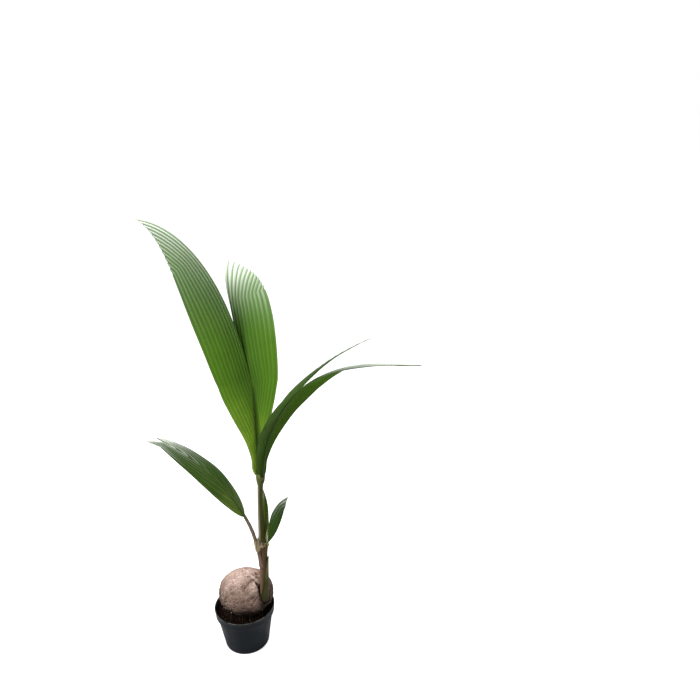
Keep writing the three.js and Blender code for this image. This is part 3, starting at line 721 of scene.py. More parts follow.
def foot_scale(finish):
    """The pointed sheath that hugs the front right of the stem."""
    foot, tip, columns, rows = (SCALE[part] for part in ("foot", "tip", "columns", "rows"))
    width = columns + 1
    size = (rows + 1) * width
    corners = []
    for face in (1, -1):
        for j in range(rows + 1):
            along = j / rows
            centre, radius = stem_place(mix(SCALE["from"], SCALE["to"], along))
            left = mix(foot[0], tip[0], along ** 1.15)
            right = mix(foot[1], tip[1], along ** 1.3)
            for i in range(width):
                t = i / columns
                rim = min(t, 1 - t) * 2
                stand = 0.6 + 4 * along ** 5
                if face > 0:
                    stand += 0.5 + (1.3 + 0.18 * math.cos(t * 40)) * rim ** 0.6 * mix(1, 0.5, along)
                corners.append(centre + heading(0, mix(left, right, t)) * (radius + stand))
    top = grid_faces(rows + 1, width, False)
    faces = top + [[size + k for k in face[::-1]] for face in top]
    edge = [*range(columns), *range(columns, size - 1, width), *range(size - 1, rows * width, -1),
            *range(rows * width, 0, -width)]
    for a, b in zip(edge, edge[1:] + edge[:1]):
        faces.append([b, a, size + a, size + b])
    t = np.tile(np.linspace(0, 1, width), rows + 1)
    along = np.repeat(np.linspace(0, 1, rows + 1), width)
    return make_piece("foot_scale", corners, faces, [finish], run=np.tile(along, 2),
                      edge=np.tile(np.minimum(t, 1 - t) * 2, 2), pick=np.tile(t, 2))


# Nut

# Creases of the split husk, as places on the nut's surface, and the flap between them.
SPLIT_LEFT = np.array([(37, -20, 254), (26, -34, 250), (19, -42, 246), (13, -48, 242)], float)
SPLIT_RIGHT = np.array([(37, -20, 254), (47, -29, 245), (58, -38, 233), (66, -48, 212)], float)
SLIT = np.array([(41, -64, 209), (50, -60, 208), (59, -56, 205)], float)
FLAP = np.array((40, -44, 236), float)
# Short folds of the dry skin: where each starts and ends, its depth and its width.
FOLDS = [
    ((-20, -34, 246), (-6, -12, 260), 1.8, 1.5), ((-9, -40, 246), (6, -14, 261), 1.3, 1.2),
    ((-60, -42, 205), (-49, -34, 224), 2.2, 2.0), ((-56, -50, 190), (-46, -56, 198), 2.4, 2.2),
    ((-66, -10, 222), (-52, 2, 238), 1.6, 1.6), ((-38, -48, 228), (-24, -40, 240), 1.2, 1.3),
    ((-5, -62, 222), (12, -60, 226), 1.0, 1.5), ((8, -66, 210), (30, -66, 207), 1.1, 1.6),
    ((-22, -66, 205), (-2, -68, 198), 1.2, 1.7), ((-36, -62, 190), (-14, -70, 182), 1.4, 2.0),
    ((2, -72, 186), (26, -70, 180), 1.2, 1.8), ((34, -68, 190), (52, -60, 186), 1.3, 1.8),
    ((-44, -30, 236), (-34, -14, 247), 1.3, 1.3), ((14, -22, 260), (26, -4, 262), 0.9, 1.3),
    ((-30, -8, 254), (-20, 12, 256), 1.1, 1.4), ((20, 30, 256), (44, 36, 248), 1.2, 1.6),
    ((-48, 44, 222), (-28, 56, 224), 1.4, 1.8), ((0, 66, 226), (28, 70, 220), 1.4, 2.0),
    ((50, 56, 218), (66, 44, 220), 1.5, 1.8), ((-20, 72, 200), (6, 80, 196), 1.3, 1.9),
]


def near_path(places, path):
    """How far each place is from a path of points."""
    best = np.full(len(places), 1e9)
    for a, b in zip(path[:-1], path[1:]):
        along = np.clip(((places - a) @ (b - a)) / ((b - a) @ (b - a)), 0, 1)
        best = np.minimum(best, np.linalg.norm(places - (a + along[:, None] * (b - a)), axis=1))
    return best


def ball(count):
    """Directions and faces of an even ball: a cube's faces in count by count squares, made round."""
    line = np.tan(np.linspace(-1, 1, count + 1) * np.pi / 4)
    first, second = (g.ravel() for g in np.meshgrid(line, line, indexing="ij"))
    ones = np.ones(len(first))
    cubes = [(first, second, ones), (second, first, -ones), (ones, first, second), (-ones, second, first),
             (second, ones, first), (first, -ones, second)]
    places = np.concatenate([np.stack(c, -1) for c in cubes])
    _, keep, same = np.unique(np.round(places, 6), axis=0, return_index=True, return_inverse=True)
    same = same.ravel()
    size = (count + 1) ** 2
    faces = []
    for k in range(6):
        for face in grid_faces(count + 1, count + 1, False, k * size):
            faces.append([int(same[i]) for i in face[::-1]])
    return unit(places[keep]), faces


def wrinkles(flat):
    """Height of the dry skin: broad swellings, and creases that run slantwise over the nut."""
    slant = unit(np.array([0.62, 0.35, 0.7]))
    grain = flat - 0.72 * (flat @ slant)[:, None] * slant
    bent = grain + 5 * np.stack([lumps(flat, 24, seed) for seed in (1.0, 2.0, 3.0)], -1)
    push = 1.6 * lumps(flat, 30) + 1.0 * lumps(flat, 15, 7.0)
    push += 1.5 * (creases(bent, 12) - 0.6) + 0.8 * (creases(bent, 5.5, 4.0) - 0.6)
    return push + 0.35 * lumps(bent, 2.4, 9.0)


def husk_tones(surface, flat, flap):
    """Where the husk is darker below with dirt and painted shade, where painted shade lies beside the stem,
    and where it is pale, partly with painted light on top.
    """
    x, z = surface[:, 0], surface[:, 2]
    shade = np.clip(ease(46, 62, x) * ease(268, 246, z) * (0.75 + 0.4 * lumps(flat, 9, 15.0)), 0, 1)
    patchy = lumps(flat, 38, 33.0) + 0.5 * lumps(flat, 12, 35.0)
    pale = np.exp(-((flap / 15) ** 4)) + 0.7 * ease(0.1, 0.9, patchy)
    # Painted light: the top of the nut is paler, as if lit from above.
    painted_top_light = ease(208, 262, z + 6 * lumps(flat, 20, 41.0))
    painted_top_light *= mix(ease(24, -12, x), 1, ease(250, 264, z))
    pale = np.clip(0.85 * pale * ease(165, 205, z) + 0.75 * painted_top_light, 0, 1)
    # Darker towards the bottom and on the left side: partly damp dirt, partly painted shade on the underside.
    low = z + 8 * lumps(flat, 16, 21.0)
    soil_and_shade = 0.35 * ease(200, 176, low) + 0.75 * ease(176, 152, low) + 0.3 * ease(-62, -80, flat[:, 0])
    soil_and_shade += 0.2 * ease(222, 202, low) * np.exp(-((flat[:, 0] / 40) ** 4))
    return {"soil_and_shade": np.clip(soil_and_shade, 0, 1), "shade": shade, "pale": pale}


def make_room_for_stem(place, dent):
    """Moves the husk's corners back from the stem's foot, and adds to their dent, which the finish paints as
    shade.
    """
    for k in np.nonzero((place[:, 0] > 40) & (place[:, 2] > 150))[0]:
        centre, radius = stem_at(max(place[k, 2], STEM_FOOT))
        gap = place[k, :2] - centre[:2]
        room = radius + 3.2
        inward = unit(NUT_MIDDLE[:2] - centre[:2])
        sideways = gap @ np.array([-inward[1], inward[0]])
        if abs(sideways) < room:
            wall = (room ** 2 - sideways ** 2) ** 0.5 - gap @ inward
            if wall > 0:
                depth = min(wall, 34) * ease(178, 188.5, place[k, 2])
                place[k, :2] += inward * depth
                dent[k] += depth * 0.35
        nearby = np.hypot(*gap) - room
        dent[k] += 2.6 * math.exp(-max(nearby, 0) / 5) * float(ease(150, 180, place[k, 2]))


def husk(finish):
    """The nut in its husk: wrinkled skin, split at the front and hollowed where the stem leaves."""
    way, faces = ball(92)
    round_part = np.hypot(way[:, 1], way[:, 2])
    turn = np.arctan2(way[:, 2], way[:, 1]) - np.radians(RIDGES["turn"])
    swell = 1 + RIDGES["height"] * round_part * np.cos(RIDGES["count"] * turn)
    flat = way * NUT_RADII
    flat[:, 1:] *= swell[:, None]
    surface = flat + NUT_MIDDLE
    ragged = 1 + 0.5 * lumps(flat, 5, 12.0)
    left, right, slit = (near_path(surface, line) for line in (SPLIT_LEFT, SPLIT_RIGHT, SLIT))
    flap = np.linalg.norm((surface - FLAP) * (1, 1, 0.75), axis=1)
    push = wrinkles(flat) + 2.8 * np.exp(-((flap / 17) ** 4))
    fading = ease(262, 236, surface[:, 2])
    # The dent sinks the husk along its split and folds, and the finish paints it as shade.
    dent = (1.7 * np.exp(-((left / (2.2 * ragged)) ** 2))
            + mix(1.6, 6, fading) * np.exp(-((right / (mix(1.8, 3.4, fading) * ragged)) ** 2))
            + 2.6 * np.exp(-((slit / (1.8 * ragged)) ** 2)))
    for start, end, depth, width in FOLDS:
        off = near_path(surface, np.array([start, end], float))
        fold = depth * np.exp(-((off / (width * ragged)) ** 2))
        push += 0.5 * depth * np.exp(-(((off - 2.6 * width) / width) ** 2)) - fold
        dent = np.maximum(dent, 0.55 * fold)
    push = push - np.where(dent > 1.2, dent, 0)
    place = surface + unit(flat / NUT_RADII ** 2) * push[:, None]
    make_room_for_stem(place, dent)
    return make_piece("nut_husk", place, faces, [finish], hollow=dent, relief=push,
                      **husk_tones(surface, flat, flap))


def husk_fibres(finish):
    """Loose husk fibres that lie on the nut, most of them round the split and the stem's foot."""
    rng = np.random.default_rng(17)
    seats = [(SPLIT_RIGHT[2], 20, 60), (SLIT[1], 18, 40), (np.array((80, -30, 184.0)), 22, 60),
             (np.array((-40, -50, 200.0)), 34, 34), (np.array((10, -40, 240.0)), 60, 50)]
    paths, radii = [], []
    for seat, reach, count in seats:
        for _ in range(count):
            way = unit((seat + rng.normal(0, reach * 0.5, 3) - NUT_MIDDLE) / NUT_RADII)
            lead = unit(rng.normal(0, 1, 3) * (1.6, 0.6, 0.6))
            length = rng.uniform(8, 26)
            path = []
            for t in np.linspace(0, 1, 8):
                way = unit(way + lead * length / 80 / 8 + rng.normal(0, 0.012, 3))
                off = 1.2 + 3.2 * rng.random() * t
                path.append(way * (NUT_RADII + off) + NUT_MIDDLE)
            centre, radius = stem_at(max(path[0][2], STEM_FOOT))
            clear = min(np.hypot(*(p - centre)[:2]) for p in path) > radius + 2
            if clear and min(p[2] for p in path) > SOIL["crown"] + 3:
                paths.append(path)
                radii.append(rng.uniform(0.12, 0.34))
    return strands("husk_fibres", paths, radii, finish)


# Pot and compost


def pot_profile():
    """The pot's outline from the middle of its underside, out, over the rim and back down inside."""
    base, shoulder, band, rim = (POT[part + "_radius"] for part in ("base", "shoulder", "band", "rim"))
    wall, floor, top = POT["wall"], POT["floor"], POT["height"]
    step = top - POT["band_height"]
    outside = [
        (0, 1.2), (base - 16, 1.2), (base - 14.5, 0), (base - 3, 0), (base - 0.8, 0.7), (base, 2.4),
        (shoulder - 0.2, step - wall - 1), (shoulder, step - wall), (band - 1.2, step - 0.6),
        (band - 0.3, step - 0.1), (band, step + 0.8), (rim - 0.4, top - 5.5), (rim + 0.5, top - 4),
        (rim + 0.6, top - 1.6), (rim + 0.1, top - 0.3), (rim - 0.8, top),
    ]
    inside = [
        (rim - wall + 0.5, top - 0.1), (rim - wall, top - 0.9), (band - wall, step + 2),
        (shoulder - wall, step - wall), (base - wall - 1, floor + 1), (base - wall - 3, floor), (0, floor),
    ]
    return outside + inside


def pot(finish):
    """The pot, very slightly out of round, with its drain holes cut through the floor."""
    sides = 160
    outline = []
    profile = pot_profile()
    for (r0, z0), (r1, z1) in zip(profile[:-1], profile[1:]):
        count = max(1, int(math.hypot(r1 - r0, z1 - z0) / 9))
        outline += [(mix(r0, r1, k / count), mix(z0, z1, k / count)) for k in range(count)]
    outline = outline[1:]
    angle = turns(sides)
    rings = []
    for r, z in outline:
        oval = 1 + 0.0035 * np.sin(2 * angle + 0.6) * ease(20, 140, z)
        oval += 0.0012 * np.sin(5 * angle) * ease(40, 142, z)
        rings.append(ring(angle, r * oval, z))
    corners, faces = loft(np.array(rings))
    heights = [z for _, z in outline]
    rim = [math.exp(-(((z - POT["height"]) / 1.6) ** 2)) for z in heights]
    piece = make_piece("nursery_pot", corners, faces, [finish], height=over_rings(heights, sides),
                       rim=over_rings(rim, sides))
    drills = []
    for place in ring(turns(POT["holes"], math.pi / POT["holes"]), POT["hole_circle"] * MM, 0):
        bpy.ops.mesh.primitive_cylinder_add(
            vertices=32, radius=POT["hole_radius"] * MM, depth=16 * MM, location=place)
        drills.append(bpy.context.object)
        cut = piece.modifiers.new("drain hole", "BOOLEAN")
        cut.operation = "DIFFERENCE"
        cut.object = drills[-1]
    shape = bpy.data.meshes.new_from_object(piece.evaluated_get(bpy.context.evaluated_depsgraph_get()))
    piece.modifiers.clear()
    piece.data = shape
    for drill in drills:
        bpy.data.objects.remove(drill)
    return piece


def compost_top(x, y):
    """Height of the compost, heaped up round the nut."""
    r = np.hypot(x, y)
    level = mix(SOIL["crown"], SOIL["edge"], (r / 91) ** 2)
    from_nut = np.hypot((x - NUT_MIDDLE[0]) / NUT_RADII[0], (y - NUT_MIDDLE[1]) / NUT_RADII[1])
    return level + 9 * ease(1.22, 0.86, from_nut) * ease(90, 76, r)


def compost(finish):
    """The compost's uneven top down to the pot's floor."""
    rows = 46
    rim = POT["band_radius"] - POT["wall"] - 0.6
    angle = turns(150)
    base, shoulder = POT["base_radius"], POT["shoulder_radius"]
    rings = [ring(angle, r, z) for r, z in ((base - 4, 3.2), (base - 3.2, 6), (shoulder - 2.6, 112))]
    for j in range(rows):
        flat = ring(angle, rim * (1 - j / rows), 0)
        height = compost_top(flat[:, 0], flat[:, 1]) + 2.2 * lumps(flat, 16) + 1.5 * lumps(flat, 6, 3.0)
        flat[:, 2] = height + 0.9 * lumps(flat, 2.8, 5.0)
        rings.append(flat)
    corners, faces = loft(np.array(rings))
    return make_piece("compost_bed", corners, faces, [finish])


def rough_lump(rng, roughness):
    """Corners of a small ball, each moved in or out at random."""
    smooth = ball(3)[0]
    return smooth * (1 + roughness * lumps(smooth * 3 + rng.uniform(0, 50), 1.3))[:, None]


def join_lumps(name, bodies, picks, finish):
    """Small lumps as one mesh, each with its own pick of the finish's shades."""
    count = len(bodies[0])
    lump_faces = ball(3)[1]
    faces = [[number * count + k for k in face] for number in range(len(bodies)) for face in lump_faces]
    corners = np.concatenate(bodies)
    return make_piece(name, corners, faces, [finish], pick=np.repeat(picks, count), run=np.ones(len(corners)))


def crumbs(finish):
    """Crumbs, bark chips and root ends scattered on the compost."""
    rng = np.random.default_rng(23)
    bodies, picks = [], []
    while len(picks) < LOOSE["crumbs"]:
        r = 88 * math.sqrt(rng.random())
        a = rng.uniform(0, 2 * np.pi)
        size = rng.uniform(0.9, 3.2) if rng.random() < 0.85 else rng.uniform(3, 5.2)
        x, y = r * math.cos(a), r * math.sin(a)
        seat = np.array([x, y, compost_top(x, y) + size * 0.35])
        if np.linalg.norm((seat - NUT_MIDDLE) / (NUT_RADII + size + 1)) < 1:
            continue
        stretch = rng.uniform(0.55, 1.5, 3) * (1, 1, 0.7)
        spin, tip = rng.uniform(0, 6.3), rng.uniform(-0.6, 0.6)
        turned = Matrix.Rotation(spin, 3, "Z") @ Matrix.Rotation(tip, 3, "X")
        bodies.append((rough_lump(rng, 0.28) * stretch * size) @ np.array(turned).T + seat)
        picks.append(rng.random())
    return join_lumps("compost_crumbs", bodies, picks, finish)


def pale_grains(finish):
    """Pale mineral grains caught between the nut and the compost, most of them at the front left."""
    rng = np.random.default_rng(31)
    bodies, picks = [], []
    for number in range(LOOSE["grains"]):
        turn, lift = rng.uniform(200, 262), rng.uniform(-38, -8)
        if number > 9:
            turn = rng.uniform(0, 360)
        seat = NUT_MIDDLE + heading(lift, turn) * (NUT_RADII + 0.8)
        size = rng.uniform(0.6, 1.5)
        bodies.append(rough_lump(rng, 0.3) * size * rng.uniform(0.7, 1.2, 3) + seat)
        picks.append(rng.random())
    return join_lumps("pale_grains", bodies, picks, finish)


def husk_threads(finish):
    """Brown husk threads that hang from the nut's lower side onto the compost."""
    rng = np.random.default_rng(37)
    paths, radii = [], []
    for _ in range(LOOSE["threads"]):
        turn = rng.normal(245, 40) if rng.random() < 0.7 else rng.uniform(0, 360)
        way = heading(rng.uniform(-46, -22), turn)
        start = NUT_MIDDLE + way * (NUT_RADII + 0.6)
        out = heading(0, turn + rng.uniform(-35, 35))
        reach = rng.uniform(3, 16)
        path = []
        for t in np.linspace(0, 1, 8):
            place = start + out * reach * t ** 0.8 + np.append(rng.normal(0, 0.3, 2), 0)
            top = compost_top(place[0], place[1])
            place[2] = mix(start[2], top + 0.5, min(1, t * 1.25) ** 0.8)
            path.append(place)
        if max(np.hypot(q[0], q[1]) for q in path) < 87:
            paths.append(path)
            radii.append(rng.uniform(0.18, 0.5))
    return strands("husk_threads", paths, radii, finish)


def compost_roots(finish):
    """Fine roots and husk threads lying on the compost."""
    rng = np.random.default_rng(29)
    paths, radii = [], []
    for _ in range(LOOSE["roots"]):
        r, a = rng.uniform(48, 88), rng.uniform(0, 2 * np.pi)
        place = np.array([r * math.cos(a), r * math.sin(a), SOIL["edge"] + 3.0])
        lead = unit(np.append(rng.normal(0, 1, 2), 0))
        length = rng.uniform(8, 30)
        path = []
        for _ in range(9):
            place = place + lead * length / 9 + np.append(rng.normal(0, 0.7, 2), rng.normal(0, 0.35))
            top = compost_top(place[0], place[1])
            place[2] = np.clip(place[2], top + 0.6, top + 3.4)
            path.append(place.copy())
        inside = max(np.hypot(p[0], p[1]) for p in path) < 88
        clear = min(np.linalg.norm((p - NUT_MIDDLE) / (NUT_RADII + 1)) for p in path) > 1
        if inside and clear:
            paths.append(path)
            radii.append(rng.uniform(0.16, 0.5))
    return strands("compost_roots", paths, radii, finish)


# Finishes


class Nodes:
    """Places nodes in a tree, one plain call each. A value may be a number, a colour or a socket."""

    def __init__(self, tree):
        self.tree = tree

    def feed(self, socket, value):
        if isinstance(value, bpy.types.NodeSocket):
            self.tree.links.new(value, socket)
        else:
            socket.default_value = value

    def add(self, kind, inputs, **settings):
        node = self.tree.nodes.new(kind)
        for name, value in settings.items():
            setattr(node, name, value)
        for socket, value in inputs.items():
            self.feed(node.inputs[socket], value)
        return node

    def fields(self, *names):
        """The numbers that a mesh carries under these names."""
        return [self.add("ShaderNodeAttribute", {}, attribute_name=name).outputs["Fac"] for name in names]

    def place(self):
        return self.add("ShaderNodeTexCoord", {}).outputs["Object"]

    def calc(self, operation, a, b=0.0):
        return self.add("ShaderNodeMath", {0: a, 1: b}, operation=operation).outputs[0]

    def times(self, a, b):
        return self.calc("MULTIPLY", a, b)

    def plus(self, a, b):
        return self.calc("ADD", a, b)

    def band(self, value, low, high, start=0.0, end=1.0):
        """A number that goes smoothly from start to end as the value goes from low to high."""
        inputs = {"Value": value, "From Min": low, "From Max": high, "To Min": start, "To Max": end}
        return self.add("ShaderNodeMapRange", inputs, interpolation_type="SMOOTHSTEP").outputs[0]

    def tint(self, mask, under, over):
        """One colour, and another that covers it where the mask is 1."""
        node = self.add("ShaderNodeMix", {0: mask}, data_type="RGBA")
        for index, colour in ((6, under), (7, over)):
            self.feed(node.inputs[index], (*colour, 1) if isinstance(colour, tuple) else colour)
        return node.outputs[2]

    def coats(self, colour, *coats):
        """A colour with others laid over it in turn, each through its own mask."""
        for mask, over in coats:
            colour = self.tint(mask, colour, over)
        return colour

    def vector(self, x, y, z=0.0):
        return self.add("ShaderNodeCombineXYZ", {0: x, 1: y, 2: z}).outputs[0]

    def noise(self, place, scale, detail, rough):
        inputs = {"Vector": place, "Scale": scale, "Detail": detail, "Roughness": rough}
        return self.add("ShaderNodeTexNoise", inputs).outputs["Fac"]

    def around_half(self, cloud, contrast):
        """Noise drawn out to 0 and 1, that far to either side of a half."""
        return self.band(cloud, self.calc("SUBTRACT", 0.5, contrast), self.plus(0.5, contrast))

    def shared(self, group, **inputs):
        node = self.add("ShaderNodeGroup", {}, node_tree=group)
        for socket, value in inputs.items():
            self.feed(node.inputs[socket], value)
        return node.outputs["Mask"]

    def mottle(self, scale, contrast, place=None):
        place = self.place() if place is None else place
        return self.shared(MOTTLE, Place=place, Scale=scale, Contrast=contrast)

    def grain(self, place, stretch, contrast):
        return self.shared(GRAIN, Place=place, Stretch=stretch, Contrast=contrast)

    def dust(self, scale, amount):
        return self.shared(DUST, Place=self.place(), Scale=scale, Amount=amount)


def shared_group(name, **inputs):
    """A node group that makes a mask at a place, its inner nodes, its inputs and the mask's socket."""
    tree = bpy.data.node_groups.new(name, "ShaderNodeTree")
    tree.interface.new_socket(name="Place", in_out="INPUT", socket_type="NodeSocketVector")
    for socket, value in inputs.items():
        kind = "NodeSocketVector" if isinstance(value, tuple) else "NodeSocketFloat"
        tree.interface.new_socket(name=socket, in_out="INPUT", socket_type=kind).default_value = value
    tree.interface.new_socket(name="Mask", in_out="OUTPUT", socket_type="NodeSocketFloat")
    n = Nodes(tree)
    return tree, n, n.add("NodeGroupInput", {}).outputs, n.add("NodeGroupOutput", {}).inputs["Mask"]


def mottle_group():
    """Soft blotches of a given size."""
    tree, n, given, mask = shared_group("mottle", Scale=40.0, Contrast=0.15)
    cloud = n.noise(given["Place"], given["Scale"], 5.0, 0.6)
    n.feed(mask, n.around_half(cloud, given["Contrast"]))
    return tree


def grain_group():
    """Long streaks: noise drawn out by a stretch along each direction."""
    tree, n, given, mask = shared_group("grain", Stretch=(1, 1, 1), Contrast=0.18)
    drawn = n.add("ShaderNodeVectorMath", {0: given["Place"], 1: given["Stretch"]}, operation="MULTIPLY")
    n.feed(mask, n.around_half(n.noise(drawn.outputs[0], 1.0, 6.0, 0.62), given["Contrast"]))
    return tree


def dust_group():
    """Settled dust: patchy, and thicker where the surface looks up."""
    tree, n, given, mask = shared_group("dust", Scale=60.0, Amount=0.5)
    normal = n.add("ShaderNodeNewGeometry", {}).outputs["Normal"]
    settled = n.band(n.add("ShaderNodeSeparateXYZ", {0: normal}).outputs["Z"], -0.3, 1.0)
    patches = n.band(n.noise(given["Place"], given["Scale"], 6.0, 0.65), 0.35, 0.7)
    n.feed(mask, n.times(n.times(settled, patches), given["Amount"]))
    return tree


MOTTLE, GRAIN, DUST = mottle_group(), grain_group(), dust_group()


class Finish(Nodes):
    """A new material and its nodes. Shine says how much it mirrors."""

    def __init__(self, name, shine):
        self.material = bpy.data.materials.new(name)
        self.material.use_nodes = True
        super().__init__(self.material.node_tree)
        self.shader = self.tree.nodes["Principled BSDF"]
        self.give("Specular IOR Level", shine)

    def give(self, socket, value):
        self.feed(self.shader.inputs[socket], value)

    def done(self, colour, rough, height, depth):
        """The material, with bump of that depth in millimetres from a height between 0 and 1."""
        self.give("Base Color", colour)
        self.give("Roughness", rough)
        bump = self.add("ShaderNodeBump", {"Height": height, "Distance": depth * MM, "Strength": 1.0})
        self.give("Normal", bump.outputs["Normal"])
        return self.material


# Colours that more than one finish uses, or that need a name.
BARK = ((0.25, 0.16, 0.115), (0.1, 0.06, 0.038))
# Near black for the husk: dirt, and painted shade in its split and creases.
SOIL_AND_SHADE_DARK = (0.012, 0.007, 0.005)
# Pale green painted on a leaf as a highlight, where it would catch the light.
PAINTED_LEAF_HIGHLIGHT = (0.86, 0.9, 0.83)
# Young yellow-greens, painted paler to stand in for light on a half that lies in shade.
YOUNG_AND_LIT_GREEN = (0.3, 0.38, 0.07)
YOUNG_AND_LIT_FOOT = (0.76, 0.78, 0.32)
# Pale green painted on as a highlight along a leaf's outer edge.
EDGE_HIGHLIGHT_GREEN = (0.34, 0.42, 0.14)
BROWN_EDGE = (0.06, 0.045, 0.022)


def leaf_green(name, foot, foot_inner, outer, inner, rib, valley, trough, gloss, shine, dusty=0.01,
               crest=(0.06, 0.46, 1.75, 0.4), rim=(0.1, 3.5, 0.17), foot_run=(0.06, 0.36), highlight_share=1.0):
    """A pleated leaf side: colours from its outer to its inner ribs, painted highlights on the ridges and
    painted shade in the valleys.
    """
    n = Finish(name, shine)
    pleat, run, edge, inward = n.fields("rib", "run", "edge", "inward")
    bloom, midrib_shade_field, fresh = n.fields("bloom", "trough", "fresh")
    off_rib = n.calc("ABSOLUTE", n.calc("SUBTRACT", n.calc("FRACT", n.plus(pleat, 0.5)), 0.5))
    lines = n.vector(pleat, run)
    streaks = n.grain(lines, (5.0, 3.2, 1.0), 0.2)
    fine = n.grain(lines, (26.0, 4.0, 1.0), 0.25)
    # Painted highlight: a pale sheen painted on the ridges, strongest towards the ends.
    ridge_bloom = n.times(n.times(bloom, highlight_share), n.band(off_rib, *crest))
    # The rim setting is a painted highlight along the outer edge near the foot: how strong, how wide and how
    # far up.
    highlight_strength, highlight_width, highlight_end = rim
    edge_highlight = n.times(n.band(edge, 0.3, highlight_width, highlight_strength, 0.0), n.band(run, 0.02, highlight_end, 1.0, 0.0))
    colour = n.coats(
        n.tint(n.band(inward, 0.1, 0.75), outer, inner),
        (n.band(run, *foot_run, 0.95, 0.0), n.tint(n.band(inward, 0.25, 0.8), foot, foot_inner)),
        (n.band(run, 0.38, 0.72, 0.0, 0.62), valley),
        # A young leaf's yellow, painted paler where a half lies in shade so that it looks lit.
        (n.times(fresh, n.band(run, 0.2, 0.9, 1.0, 0.4)), YOUNG_AND_LIT_GREEN),
        (n.times(fresh, n.band(run, 0.08, 0.34, 0.85, 0.0)), YOUNG_AND_LIT_FOOT),
        (n.times(streaks, 0.35), valley),
        (n.times(n.mottle(22.0, 0.16), 0.25), inner),
        (n.times(fine, 0.18), rib),
        # Painted shade: darker in the valleys between the ribs.
        (n.band(off_rib, 0.34, 0.5, 0.0, 0.4), valley),
        (n.times(n.band(off_rib, 0.02, 0.09, 0.5, 0.0), n.band(streaks, 0.2, 0.8)), rib),
        # Painted shade beside the midrib.
        (n.times(midrib_shade_field, 0.9), trough),
        # Painted highlight on the ridges.
        (n.times(ridge_bloom, n.band(streaks, 0.0, 1.0, 1.2, 0.8)), PAINTED_LEAF_HIGHLIGHT),
        (n.times(n.band(edge, 0.3, 1.8, 0.5, 0.0), n.band(run, 0.2, 0.4)), BROWN_EDGE),
        # Painted highlight along the outer edge near the foot.
        (edge_highlight, EDGE_HIGHLIGHT_GREEN),
        # Darker brown along the innermost margin: partly its own brown edge, partly painted shade beside the
        # midrib.
        (n.band(inward, 0.975, 1.0, 0.0, 0.6), (0.06, 0.04, 0.03)),
        (n.band(run, 0.97, 1.0, 0.0, 0.5), (0.42, 0.38, 0.26)),
        (n.dust(34.0, dusty), (0.34, 0.38, 0.32)))
    veins = n.calc("SINE", n.times(pleat, 2 * math.pi * 7))
    height = n.plus(n.times(veins, 0.35), n.plus(fine, n.times(streaks, 0.6)))
    return n.done(colour, n.band(streaks, 0.0, 1.0, gloss, gloss + 0.12), height, 0.16)


def midrib_finish(name, shaft, light, dark, green, greens_from, sheathing=BARK, root=None):
    """A stalk or midrib: a painted highlight along one flank, painted shade in its groove, streaks, and green
    further out.
    """
    n = Finish(name, 0.12)
    top, flank, along, sheath = n.fields("top", "flank", "along", "sheath")
    lines = n.vector(flank, n.times(along, 0.02), top)
    streaks = n.grain(lines, (7.0, 1.4, 7.0), 0.18)
    leafy = n.tint(streaks, green, tuple(0.6 * part for part in green))
    colour = n.coats(
        n.tint(streaks, shaft, dark),
        (n.times(n.mottle(220.0, 0.12), 0.3), dark),
        # Painted highlight along one flank.
        (n.band(flank, 0.35, 0.9, 0.0, 0.8), light),
        # Painted shade in the groove along the top, here and where the stalk turns green.
        (n.band(top, 0.8, 1.0, 0.0, 0.7), dark),
        (n.band(along, *greens_from), n.tint(n.band(top, 0.85, 1.0, 0.0, 0.3), leafy, dark)))
    if root is not None:
        colour = n.tint(n.band(along, 30, 110, 1.0, 0.0), colour, root)
    colour = n.tint(n.band(sheath, 0.0, 0.35), colour, n.tint(streaks, *sheathing))
    return n.done(colour, n.band(streaks, 0.0, 1.0, 0.36, 0.55), streaks, 0.3)


def stem_finish():
    """Brown sheath below the joint, olive green above it, with a painted highlight on its left flank and
    painted shade down its front.
    """
    n = Finish("stem sheath", 0.1)
    height, lap, facing_x, facing_y = n.fields("height", "lap", "facing_x", "facing_y")
    around = n.vector(facing_x, facing_y, n.times(height, 0.01))
    streaks = n.grain(around, (9.0, 9.0, 1.1), 0.2)
    fibre = n.grain(around, (34.0, 34.0, 2.0), 0.25)
    # Painted light: a highlight on the flank that faces left, and shade down the middle that faces front.
    painted_left_highlight = n.band(n.plus(n.times(facing_x, -0.97), n.times(facing_y, -0.25)), 0.35, 0.85)
    painted_middle_shade = n.band(n.plus(n.times(facing_x, 0.05), n.times(facing_y, -1.0)), 0.75, 0.97)
    brown = n.coats(
        n.tint(streaks, (0.14, 0.085, 0.046), (0.03, 0.016, 0.008)),
        (n.times(n.mottle(60.0, 0.14), 0.45), (0.16, 0.07, 0.028)),
        (n.times(painted_left_highlight, 0.4), (0.26, 0.16, 0.11)))
    olive = n.coats(
        n.tint(streaks, (0.1, 0.125, 0.02), (0.055, 0.072, 0.01)),
        (n.times(painted_middle_shade, 0.85), (0.03, 0.026, 0.006)),
        (n.times(painted_left_highlight, 0.9), (0.3, 0.28, 0.19)),
        (n.band(height, 575, 612), n.tint(streaks, (0.12, 0.15, 0.04), (0.07, 0.09, 0.02))))
    colour = n.coats(
        n.tint(n.band(height, JOINT - 5, JOINT + 3), brown, olive),
        (n.times(lap, 0.55), (0.03, 0.02, 0.01)),
        (n.times(fibre, 0.25), (0.2, 0.15, 0.08)),
        (n.band(height, STEM_FOOT, STEM_FOOT + 38, 0.95, 0.0), (0.012, 0.008, 0.005)))
    return n.done(colour, n.band(streaks, 0.0, 1.0, 0.42, 0.62), n.plus(streaks, n.times(fibre, 0.5)), 0.4)


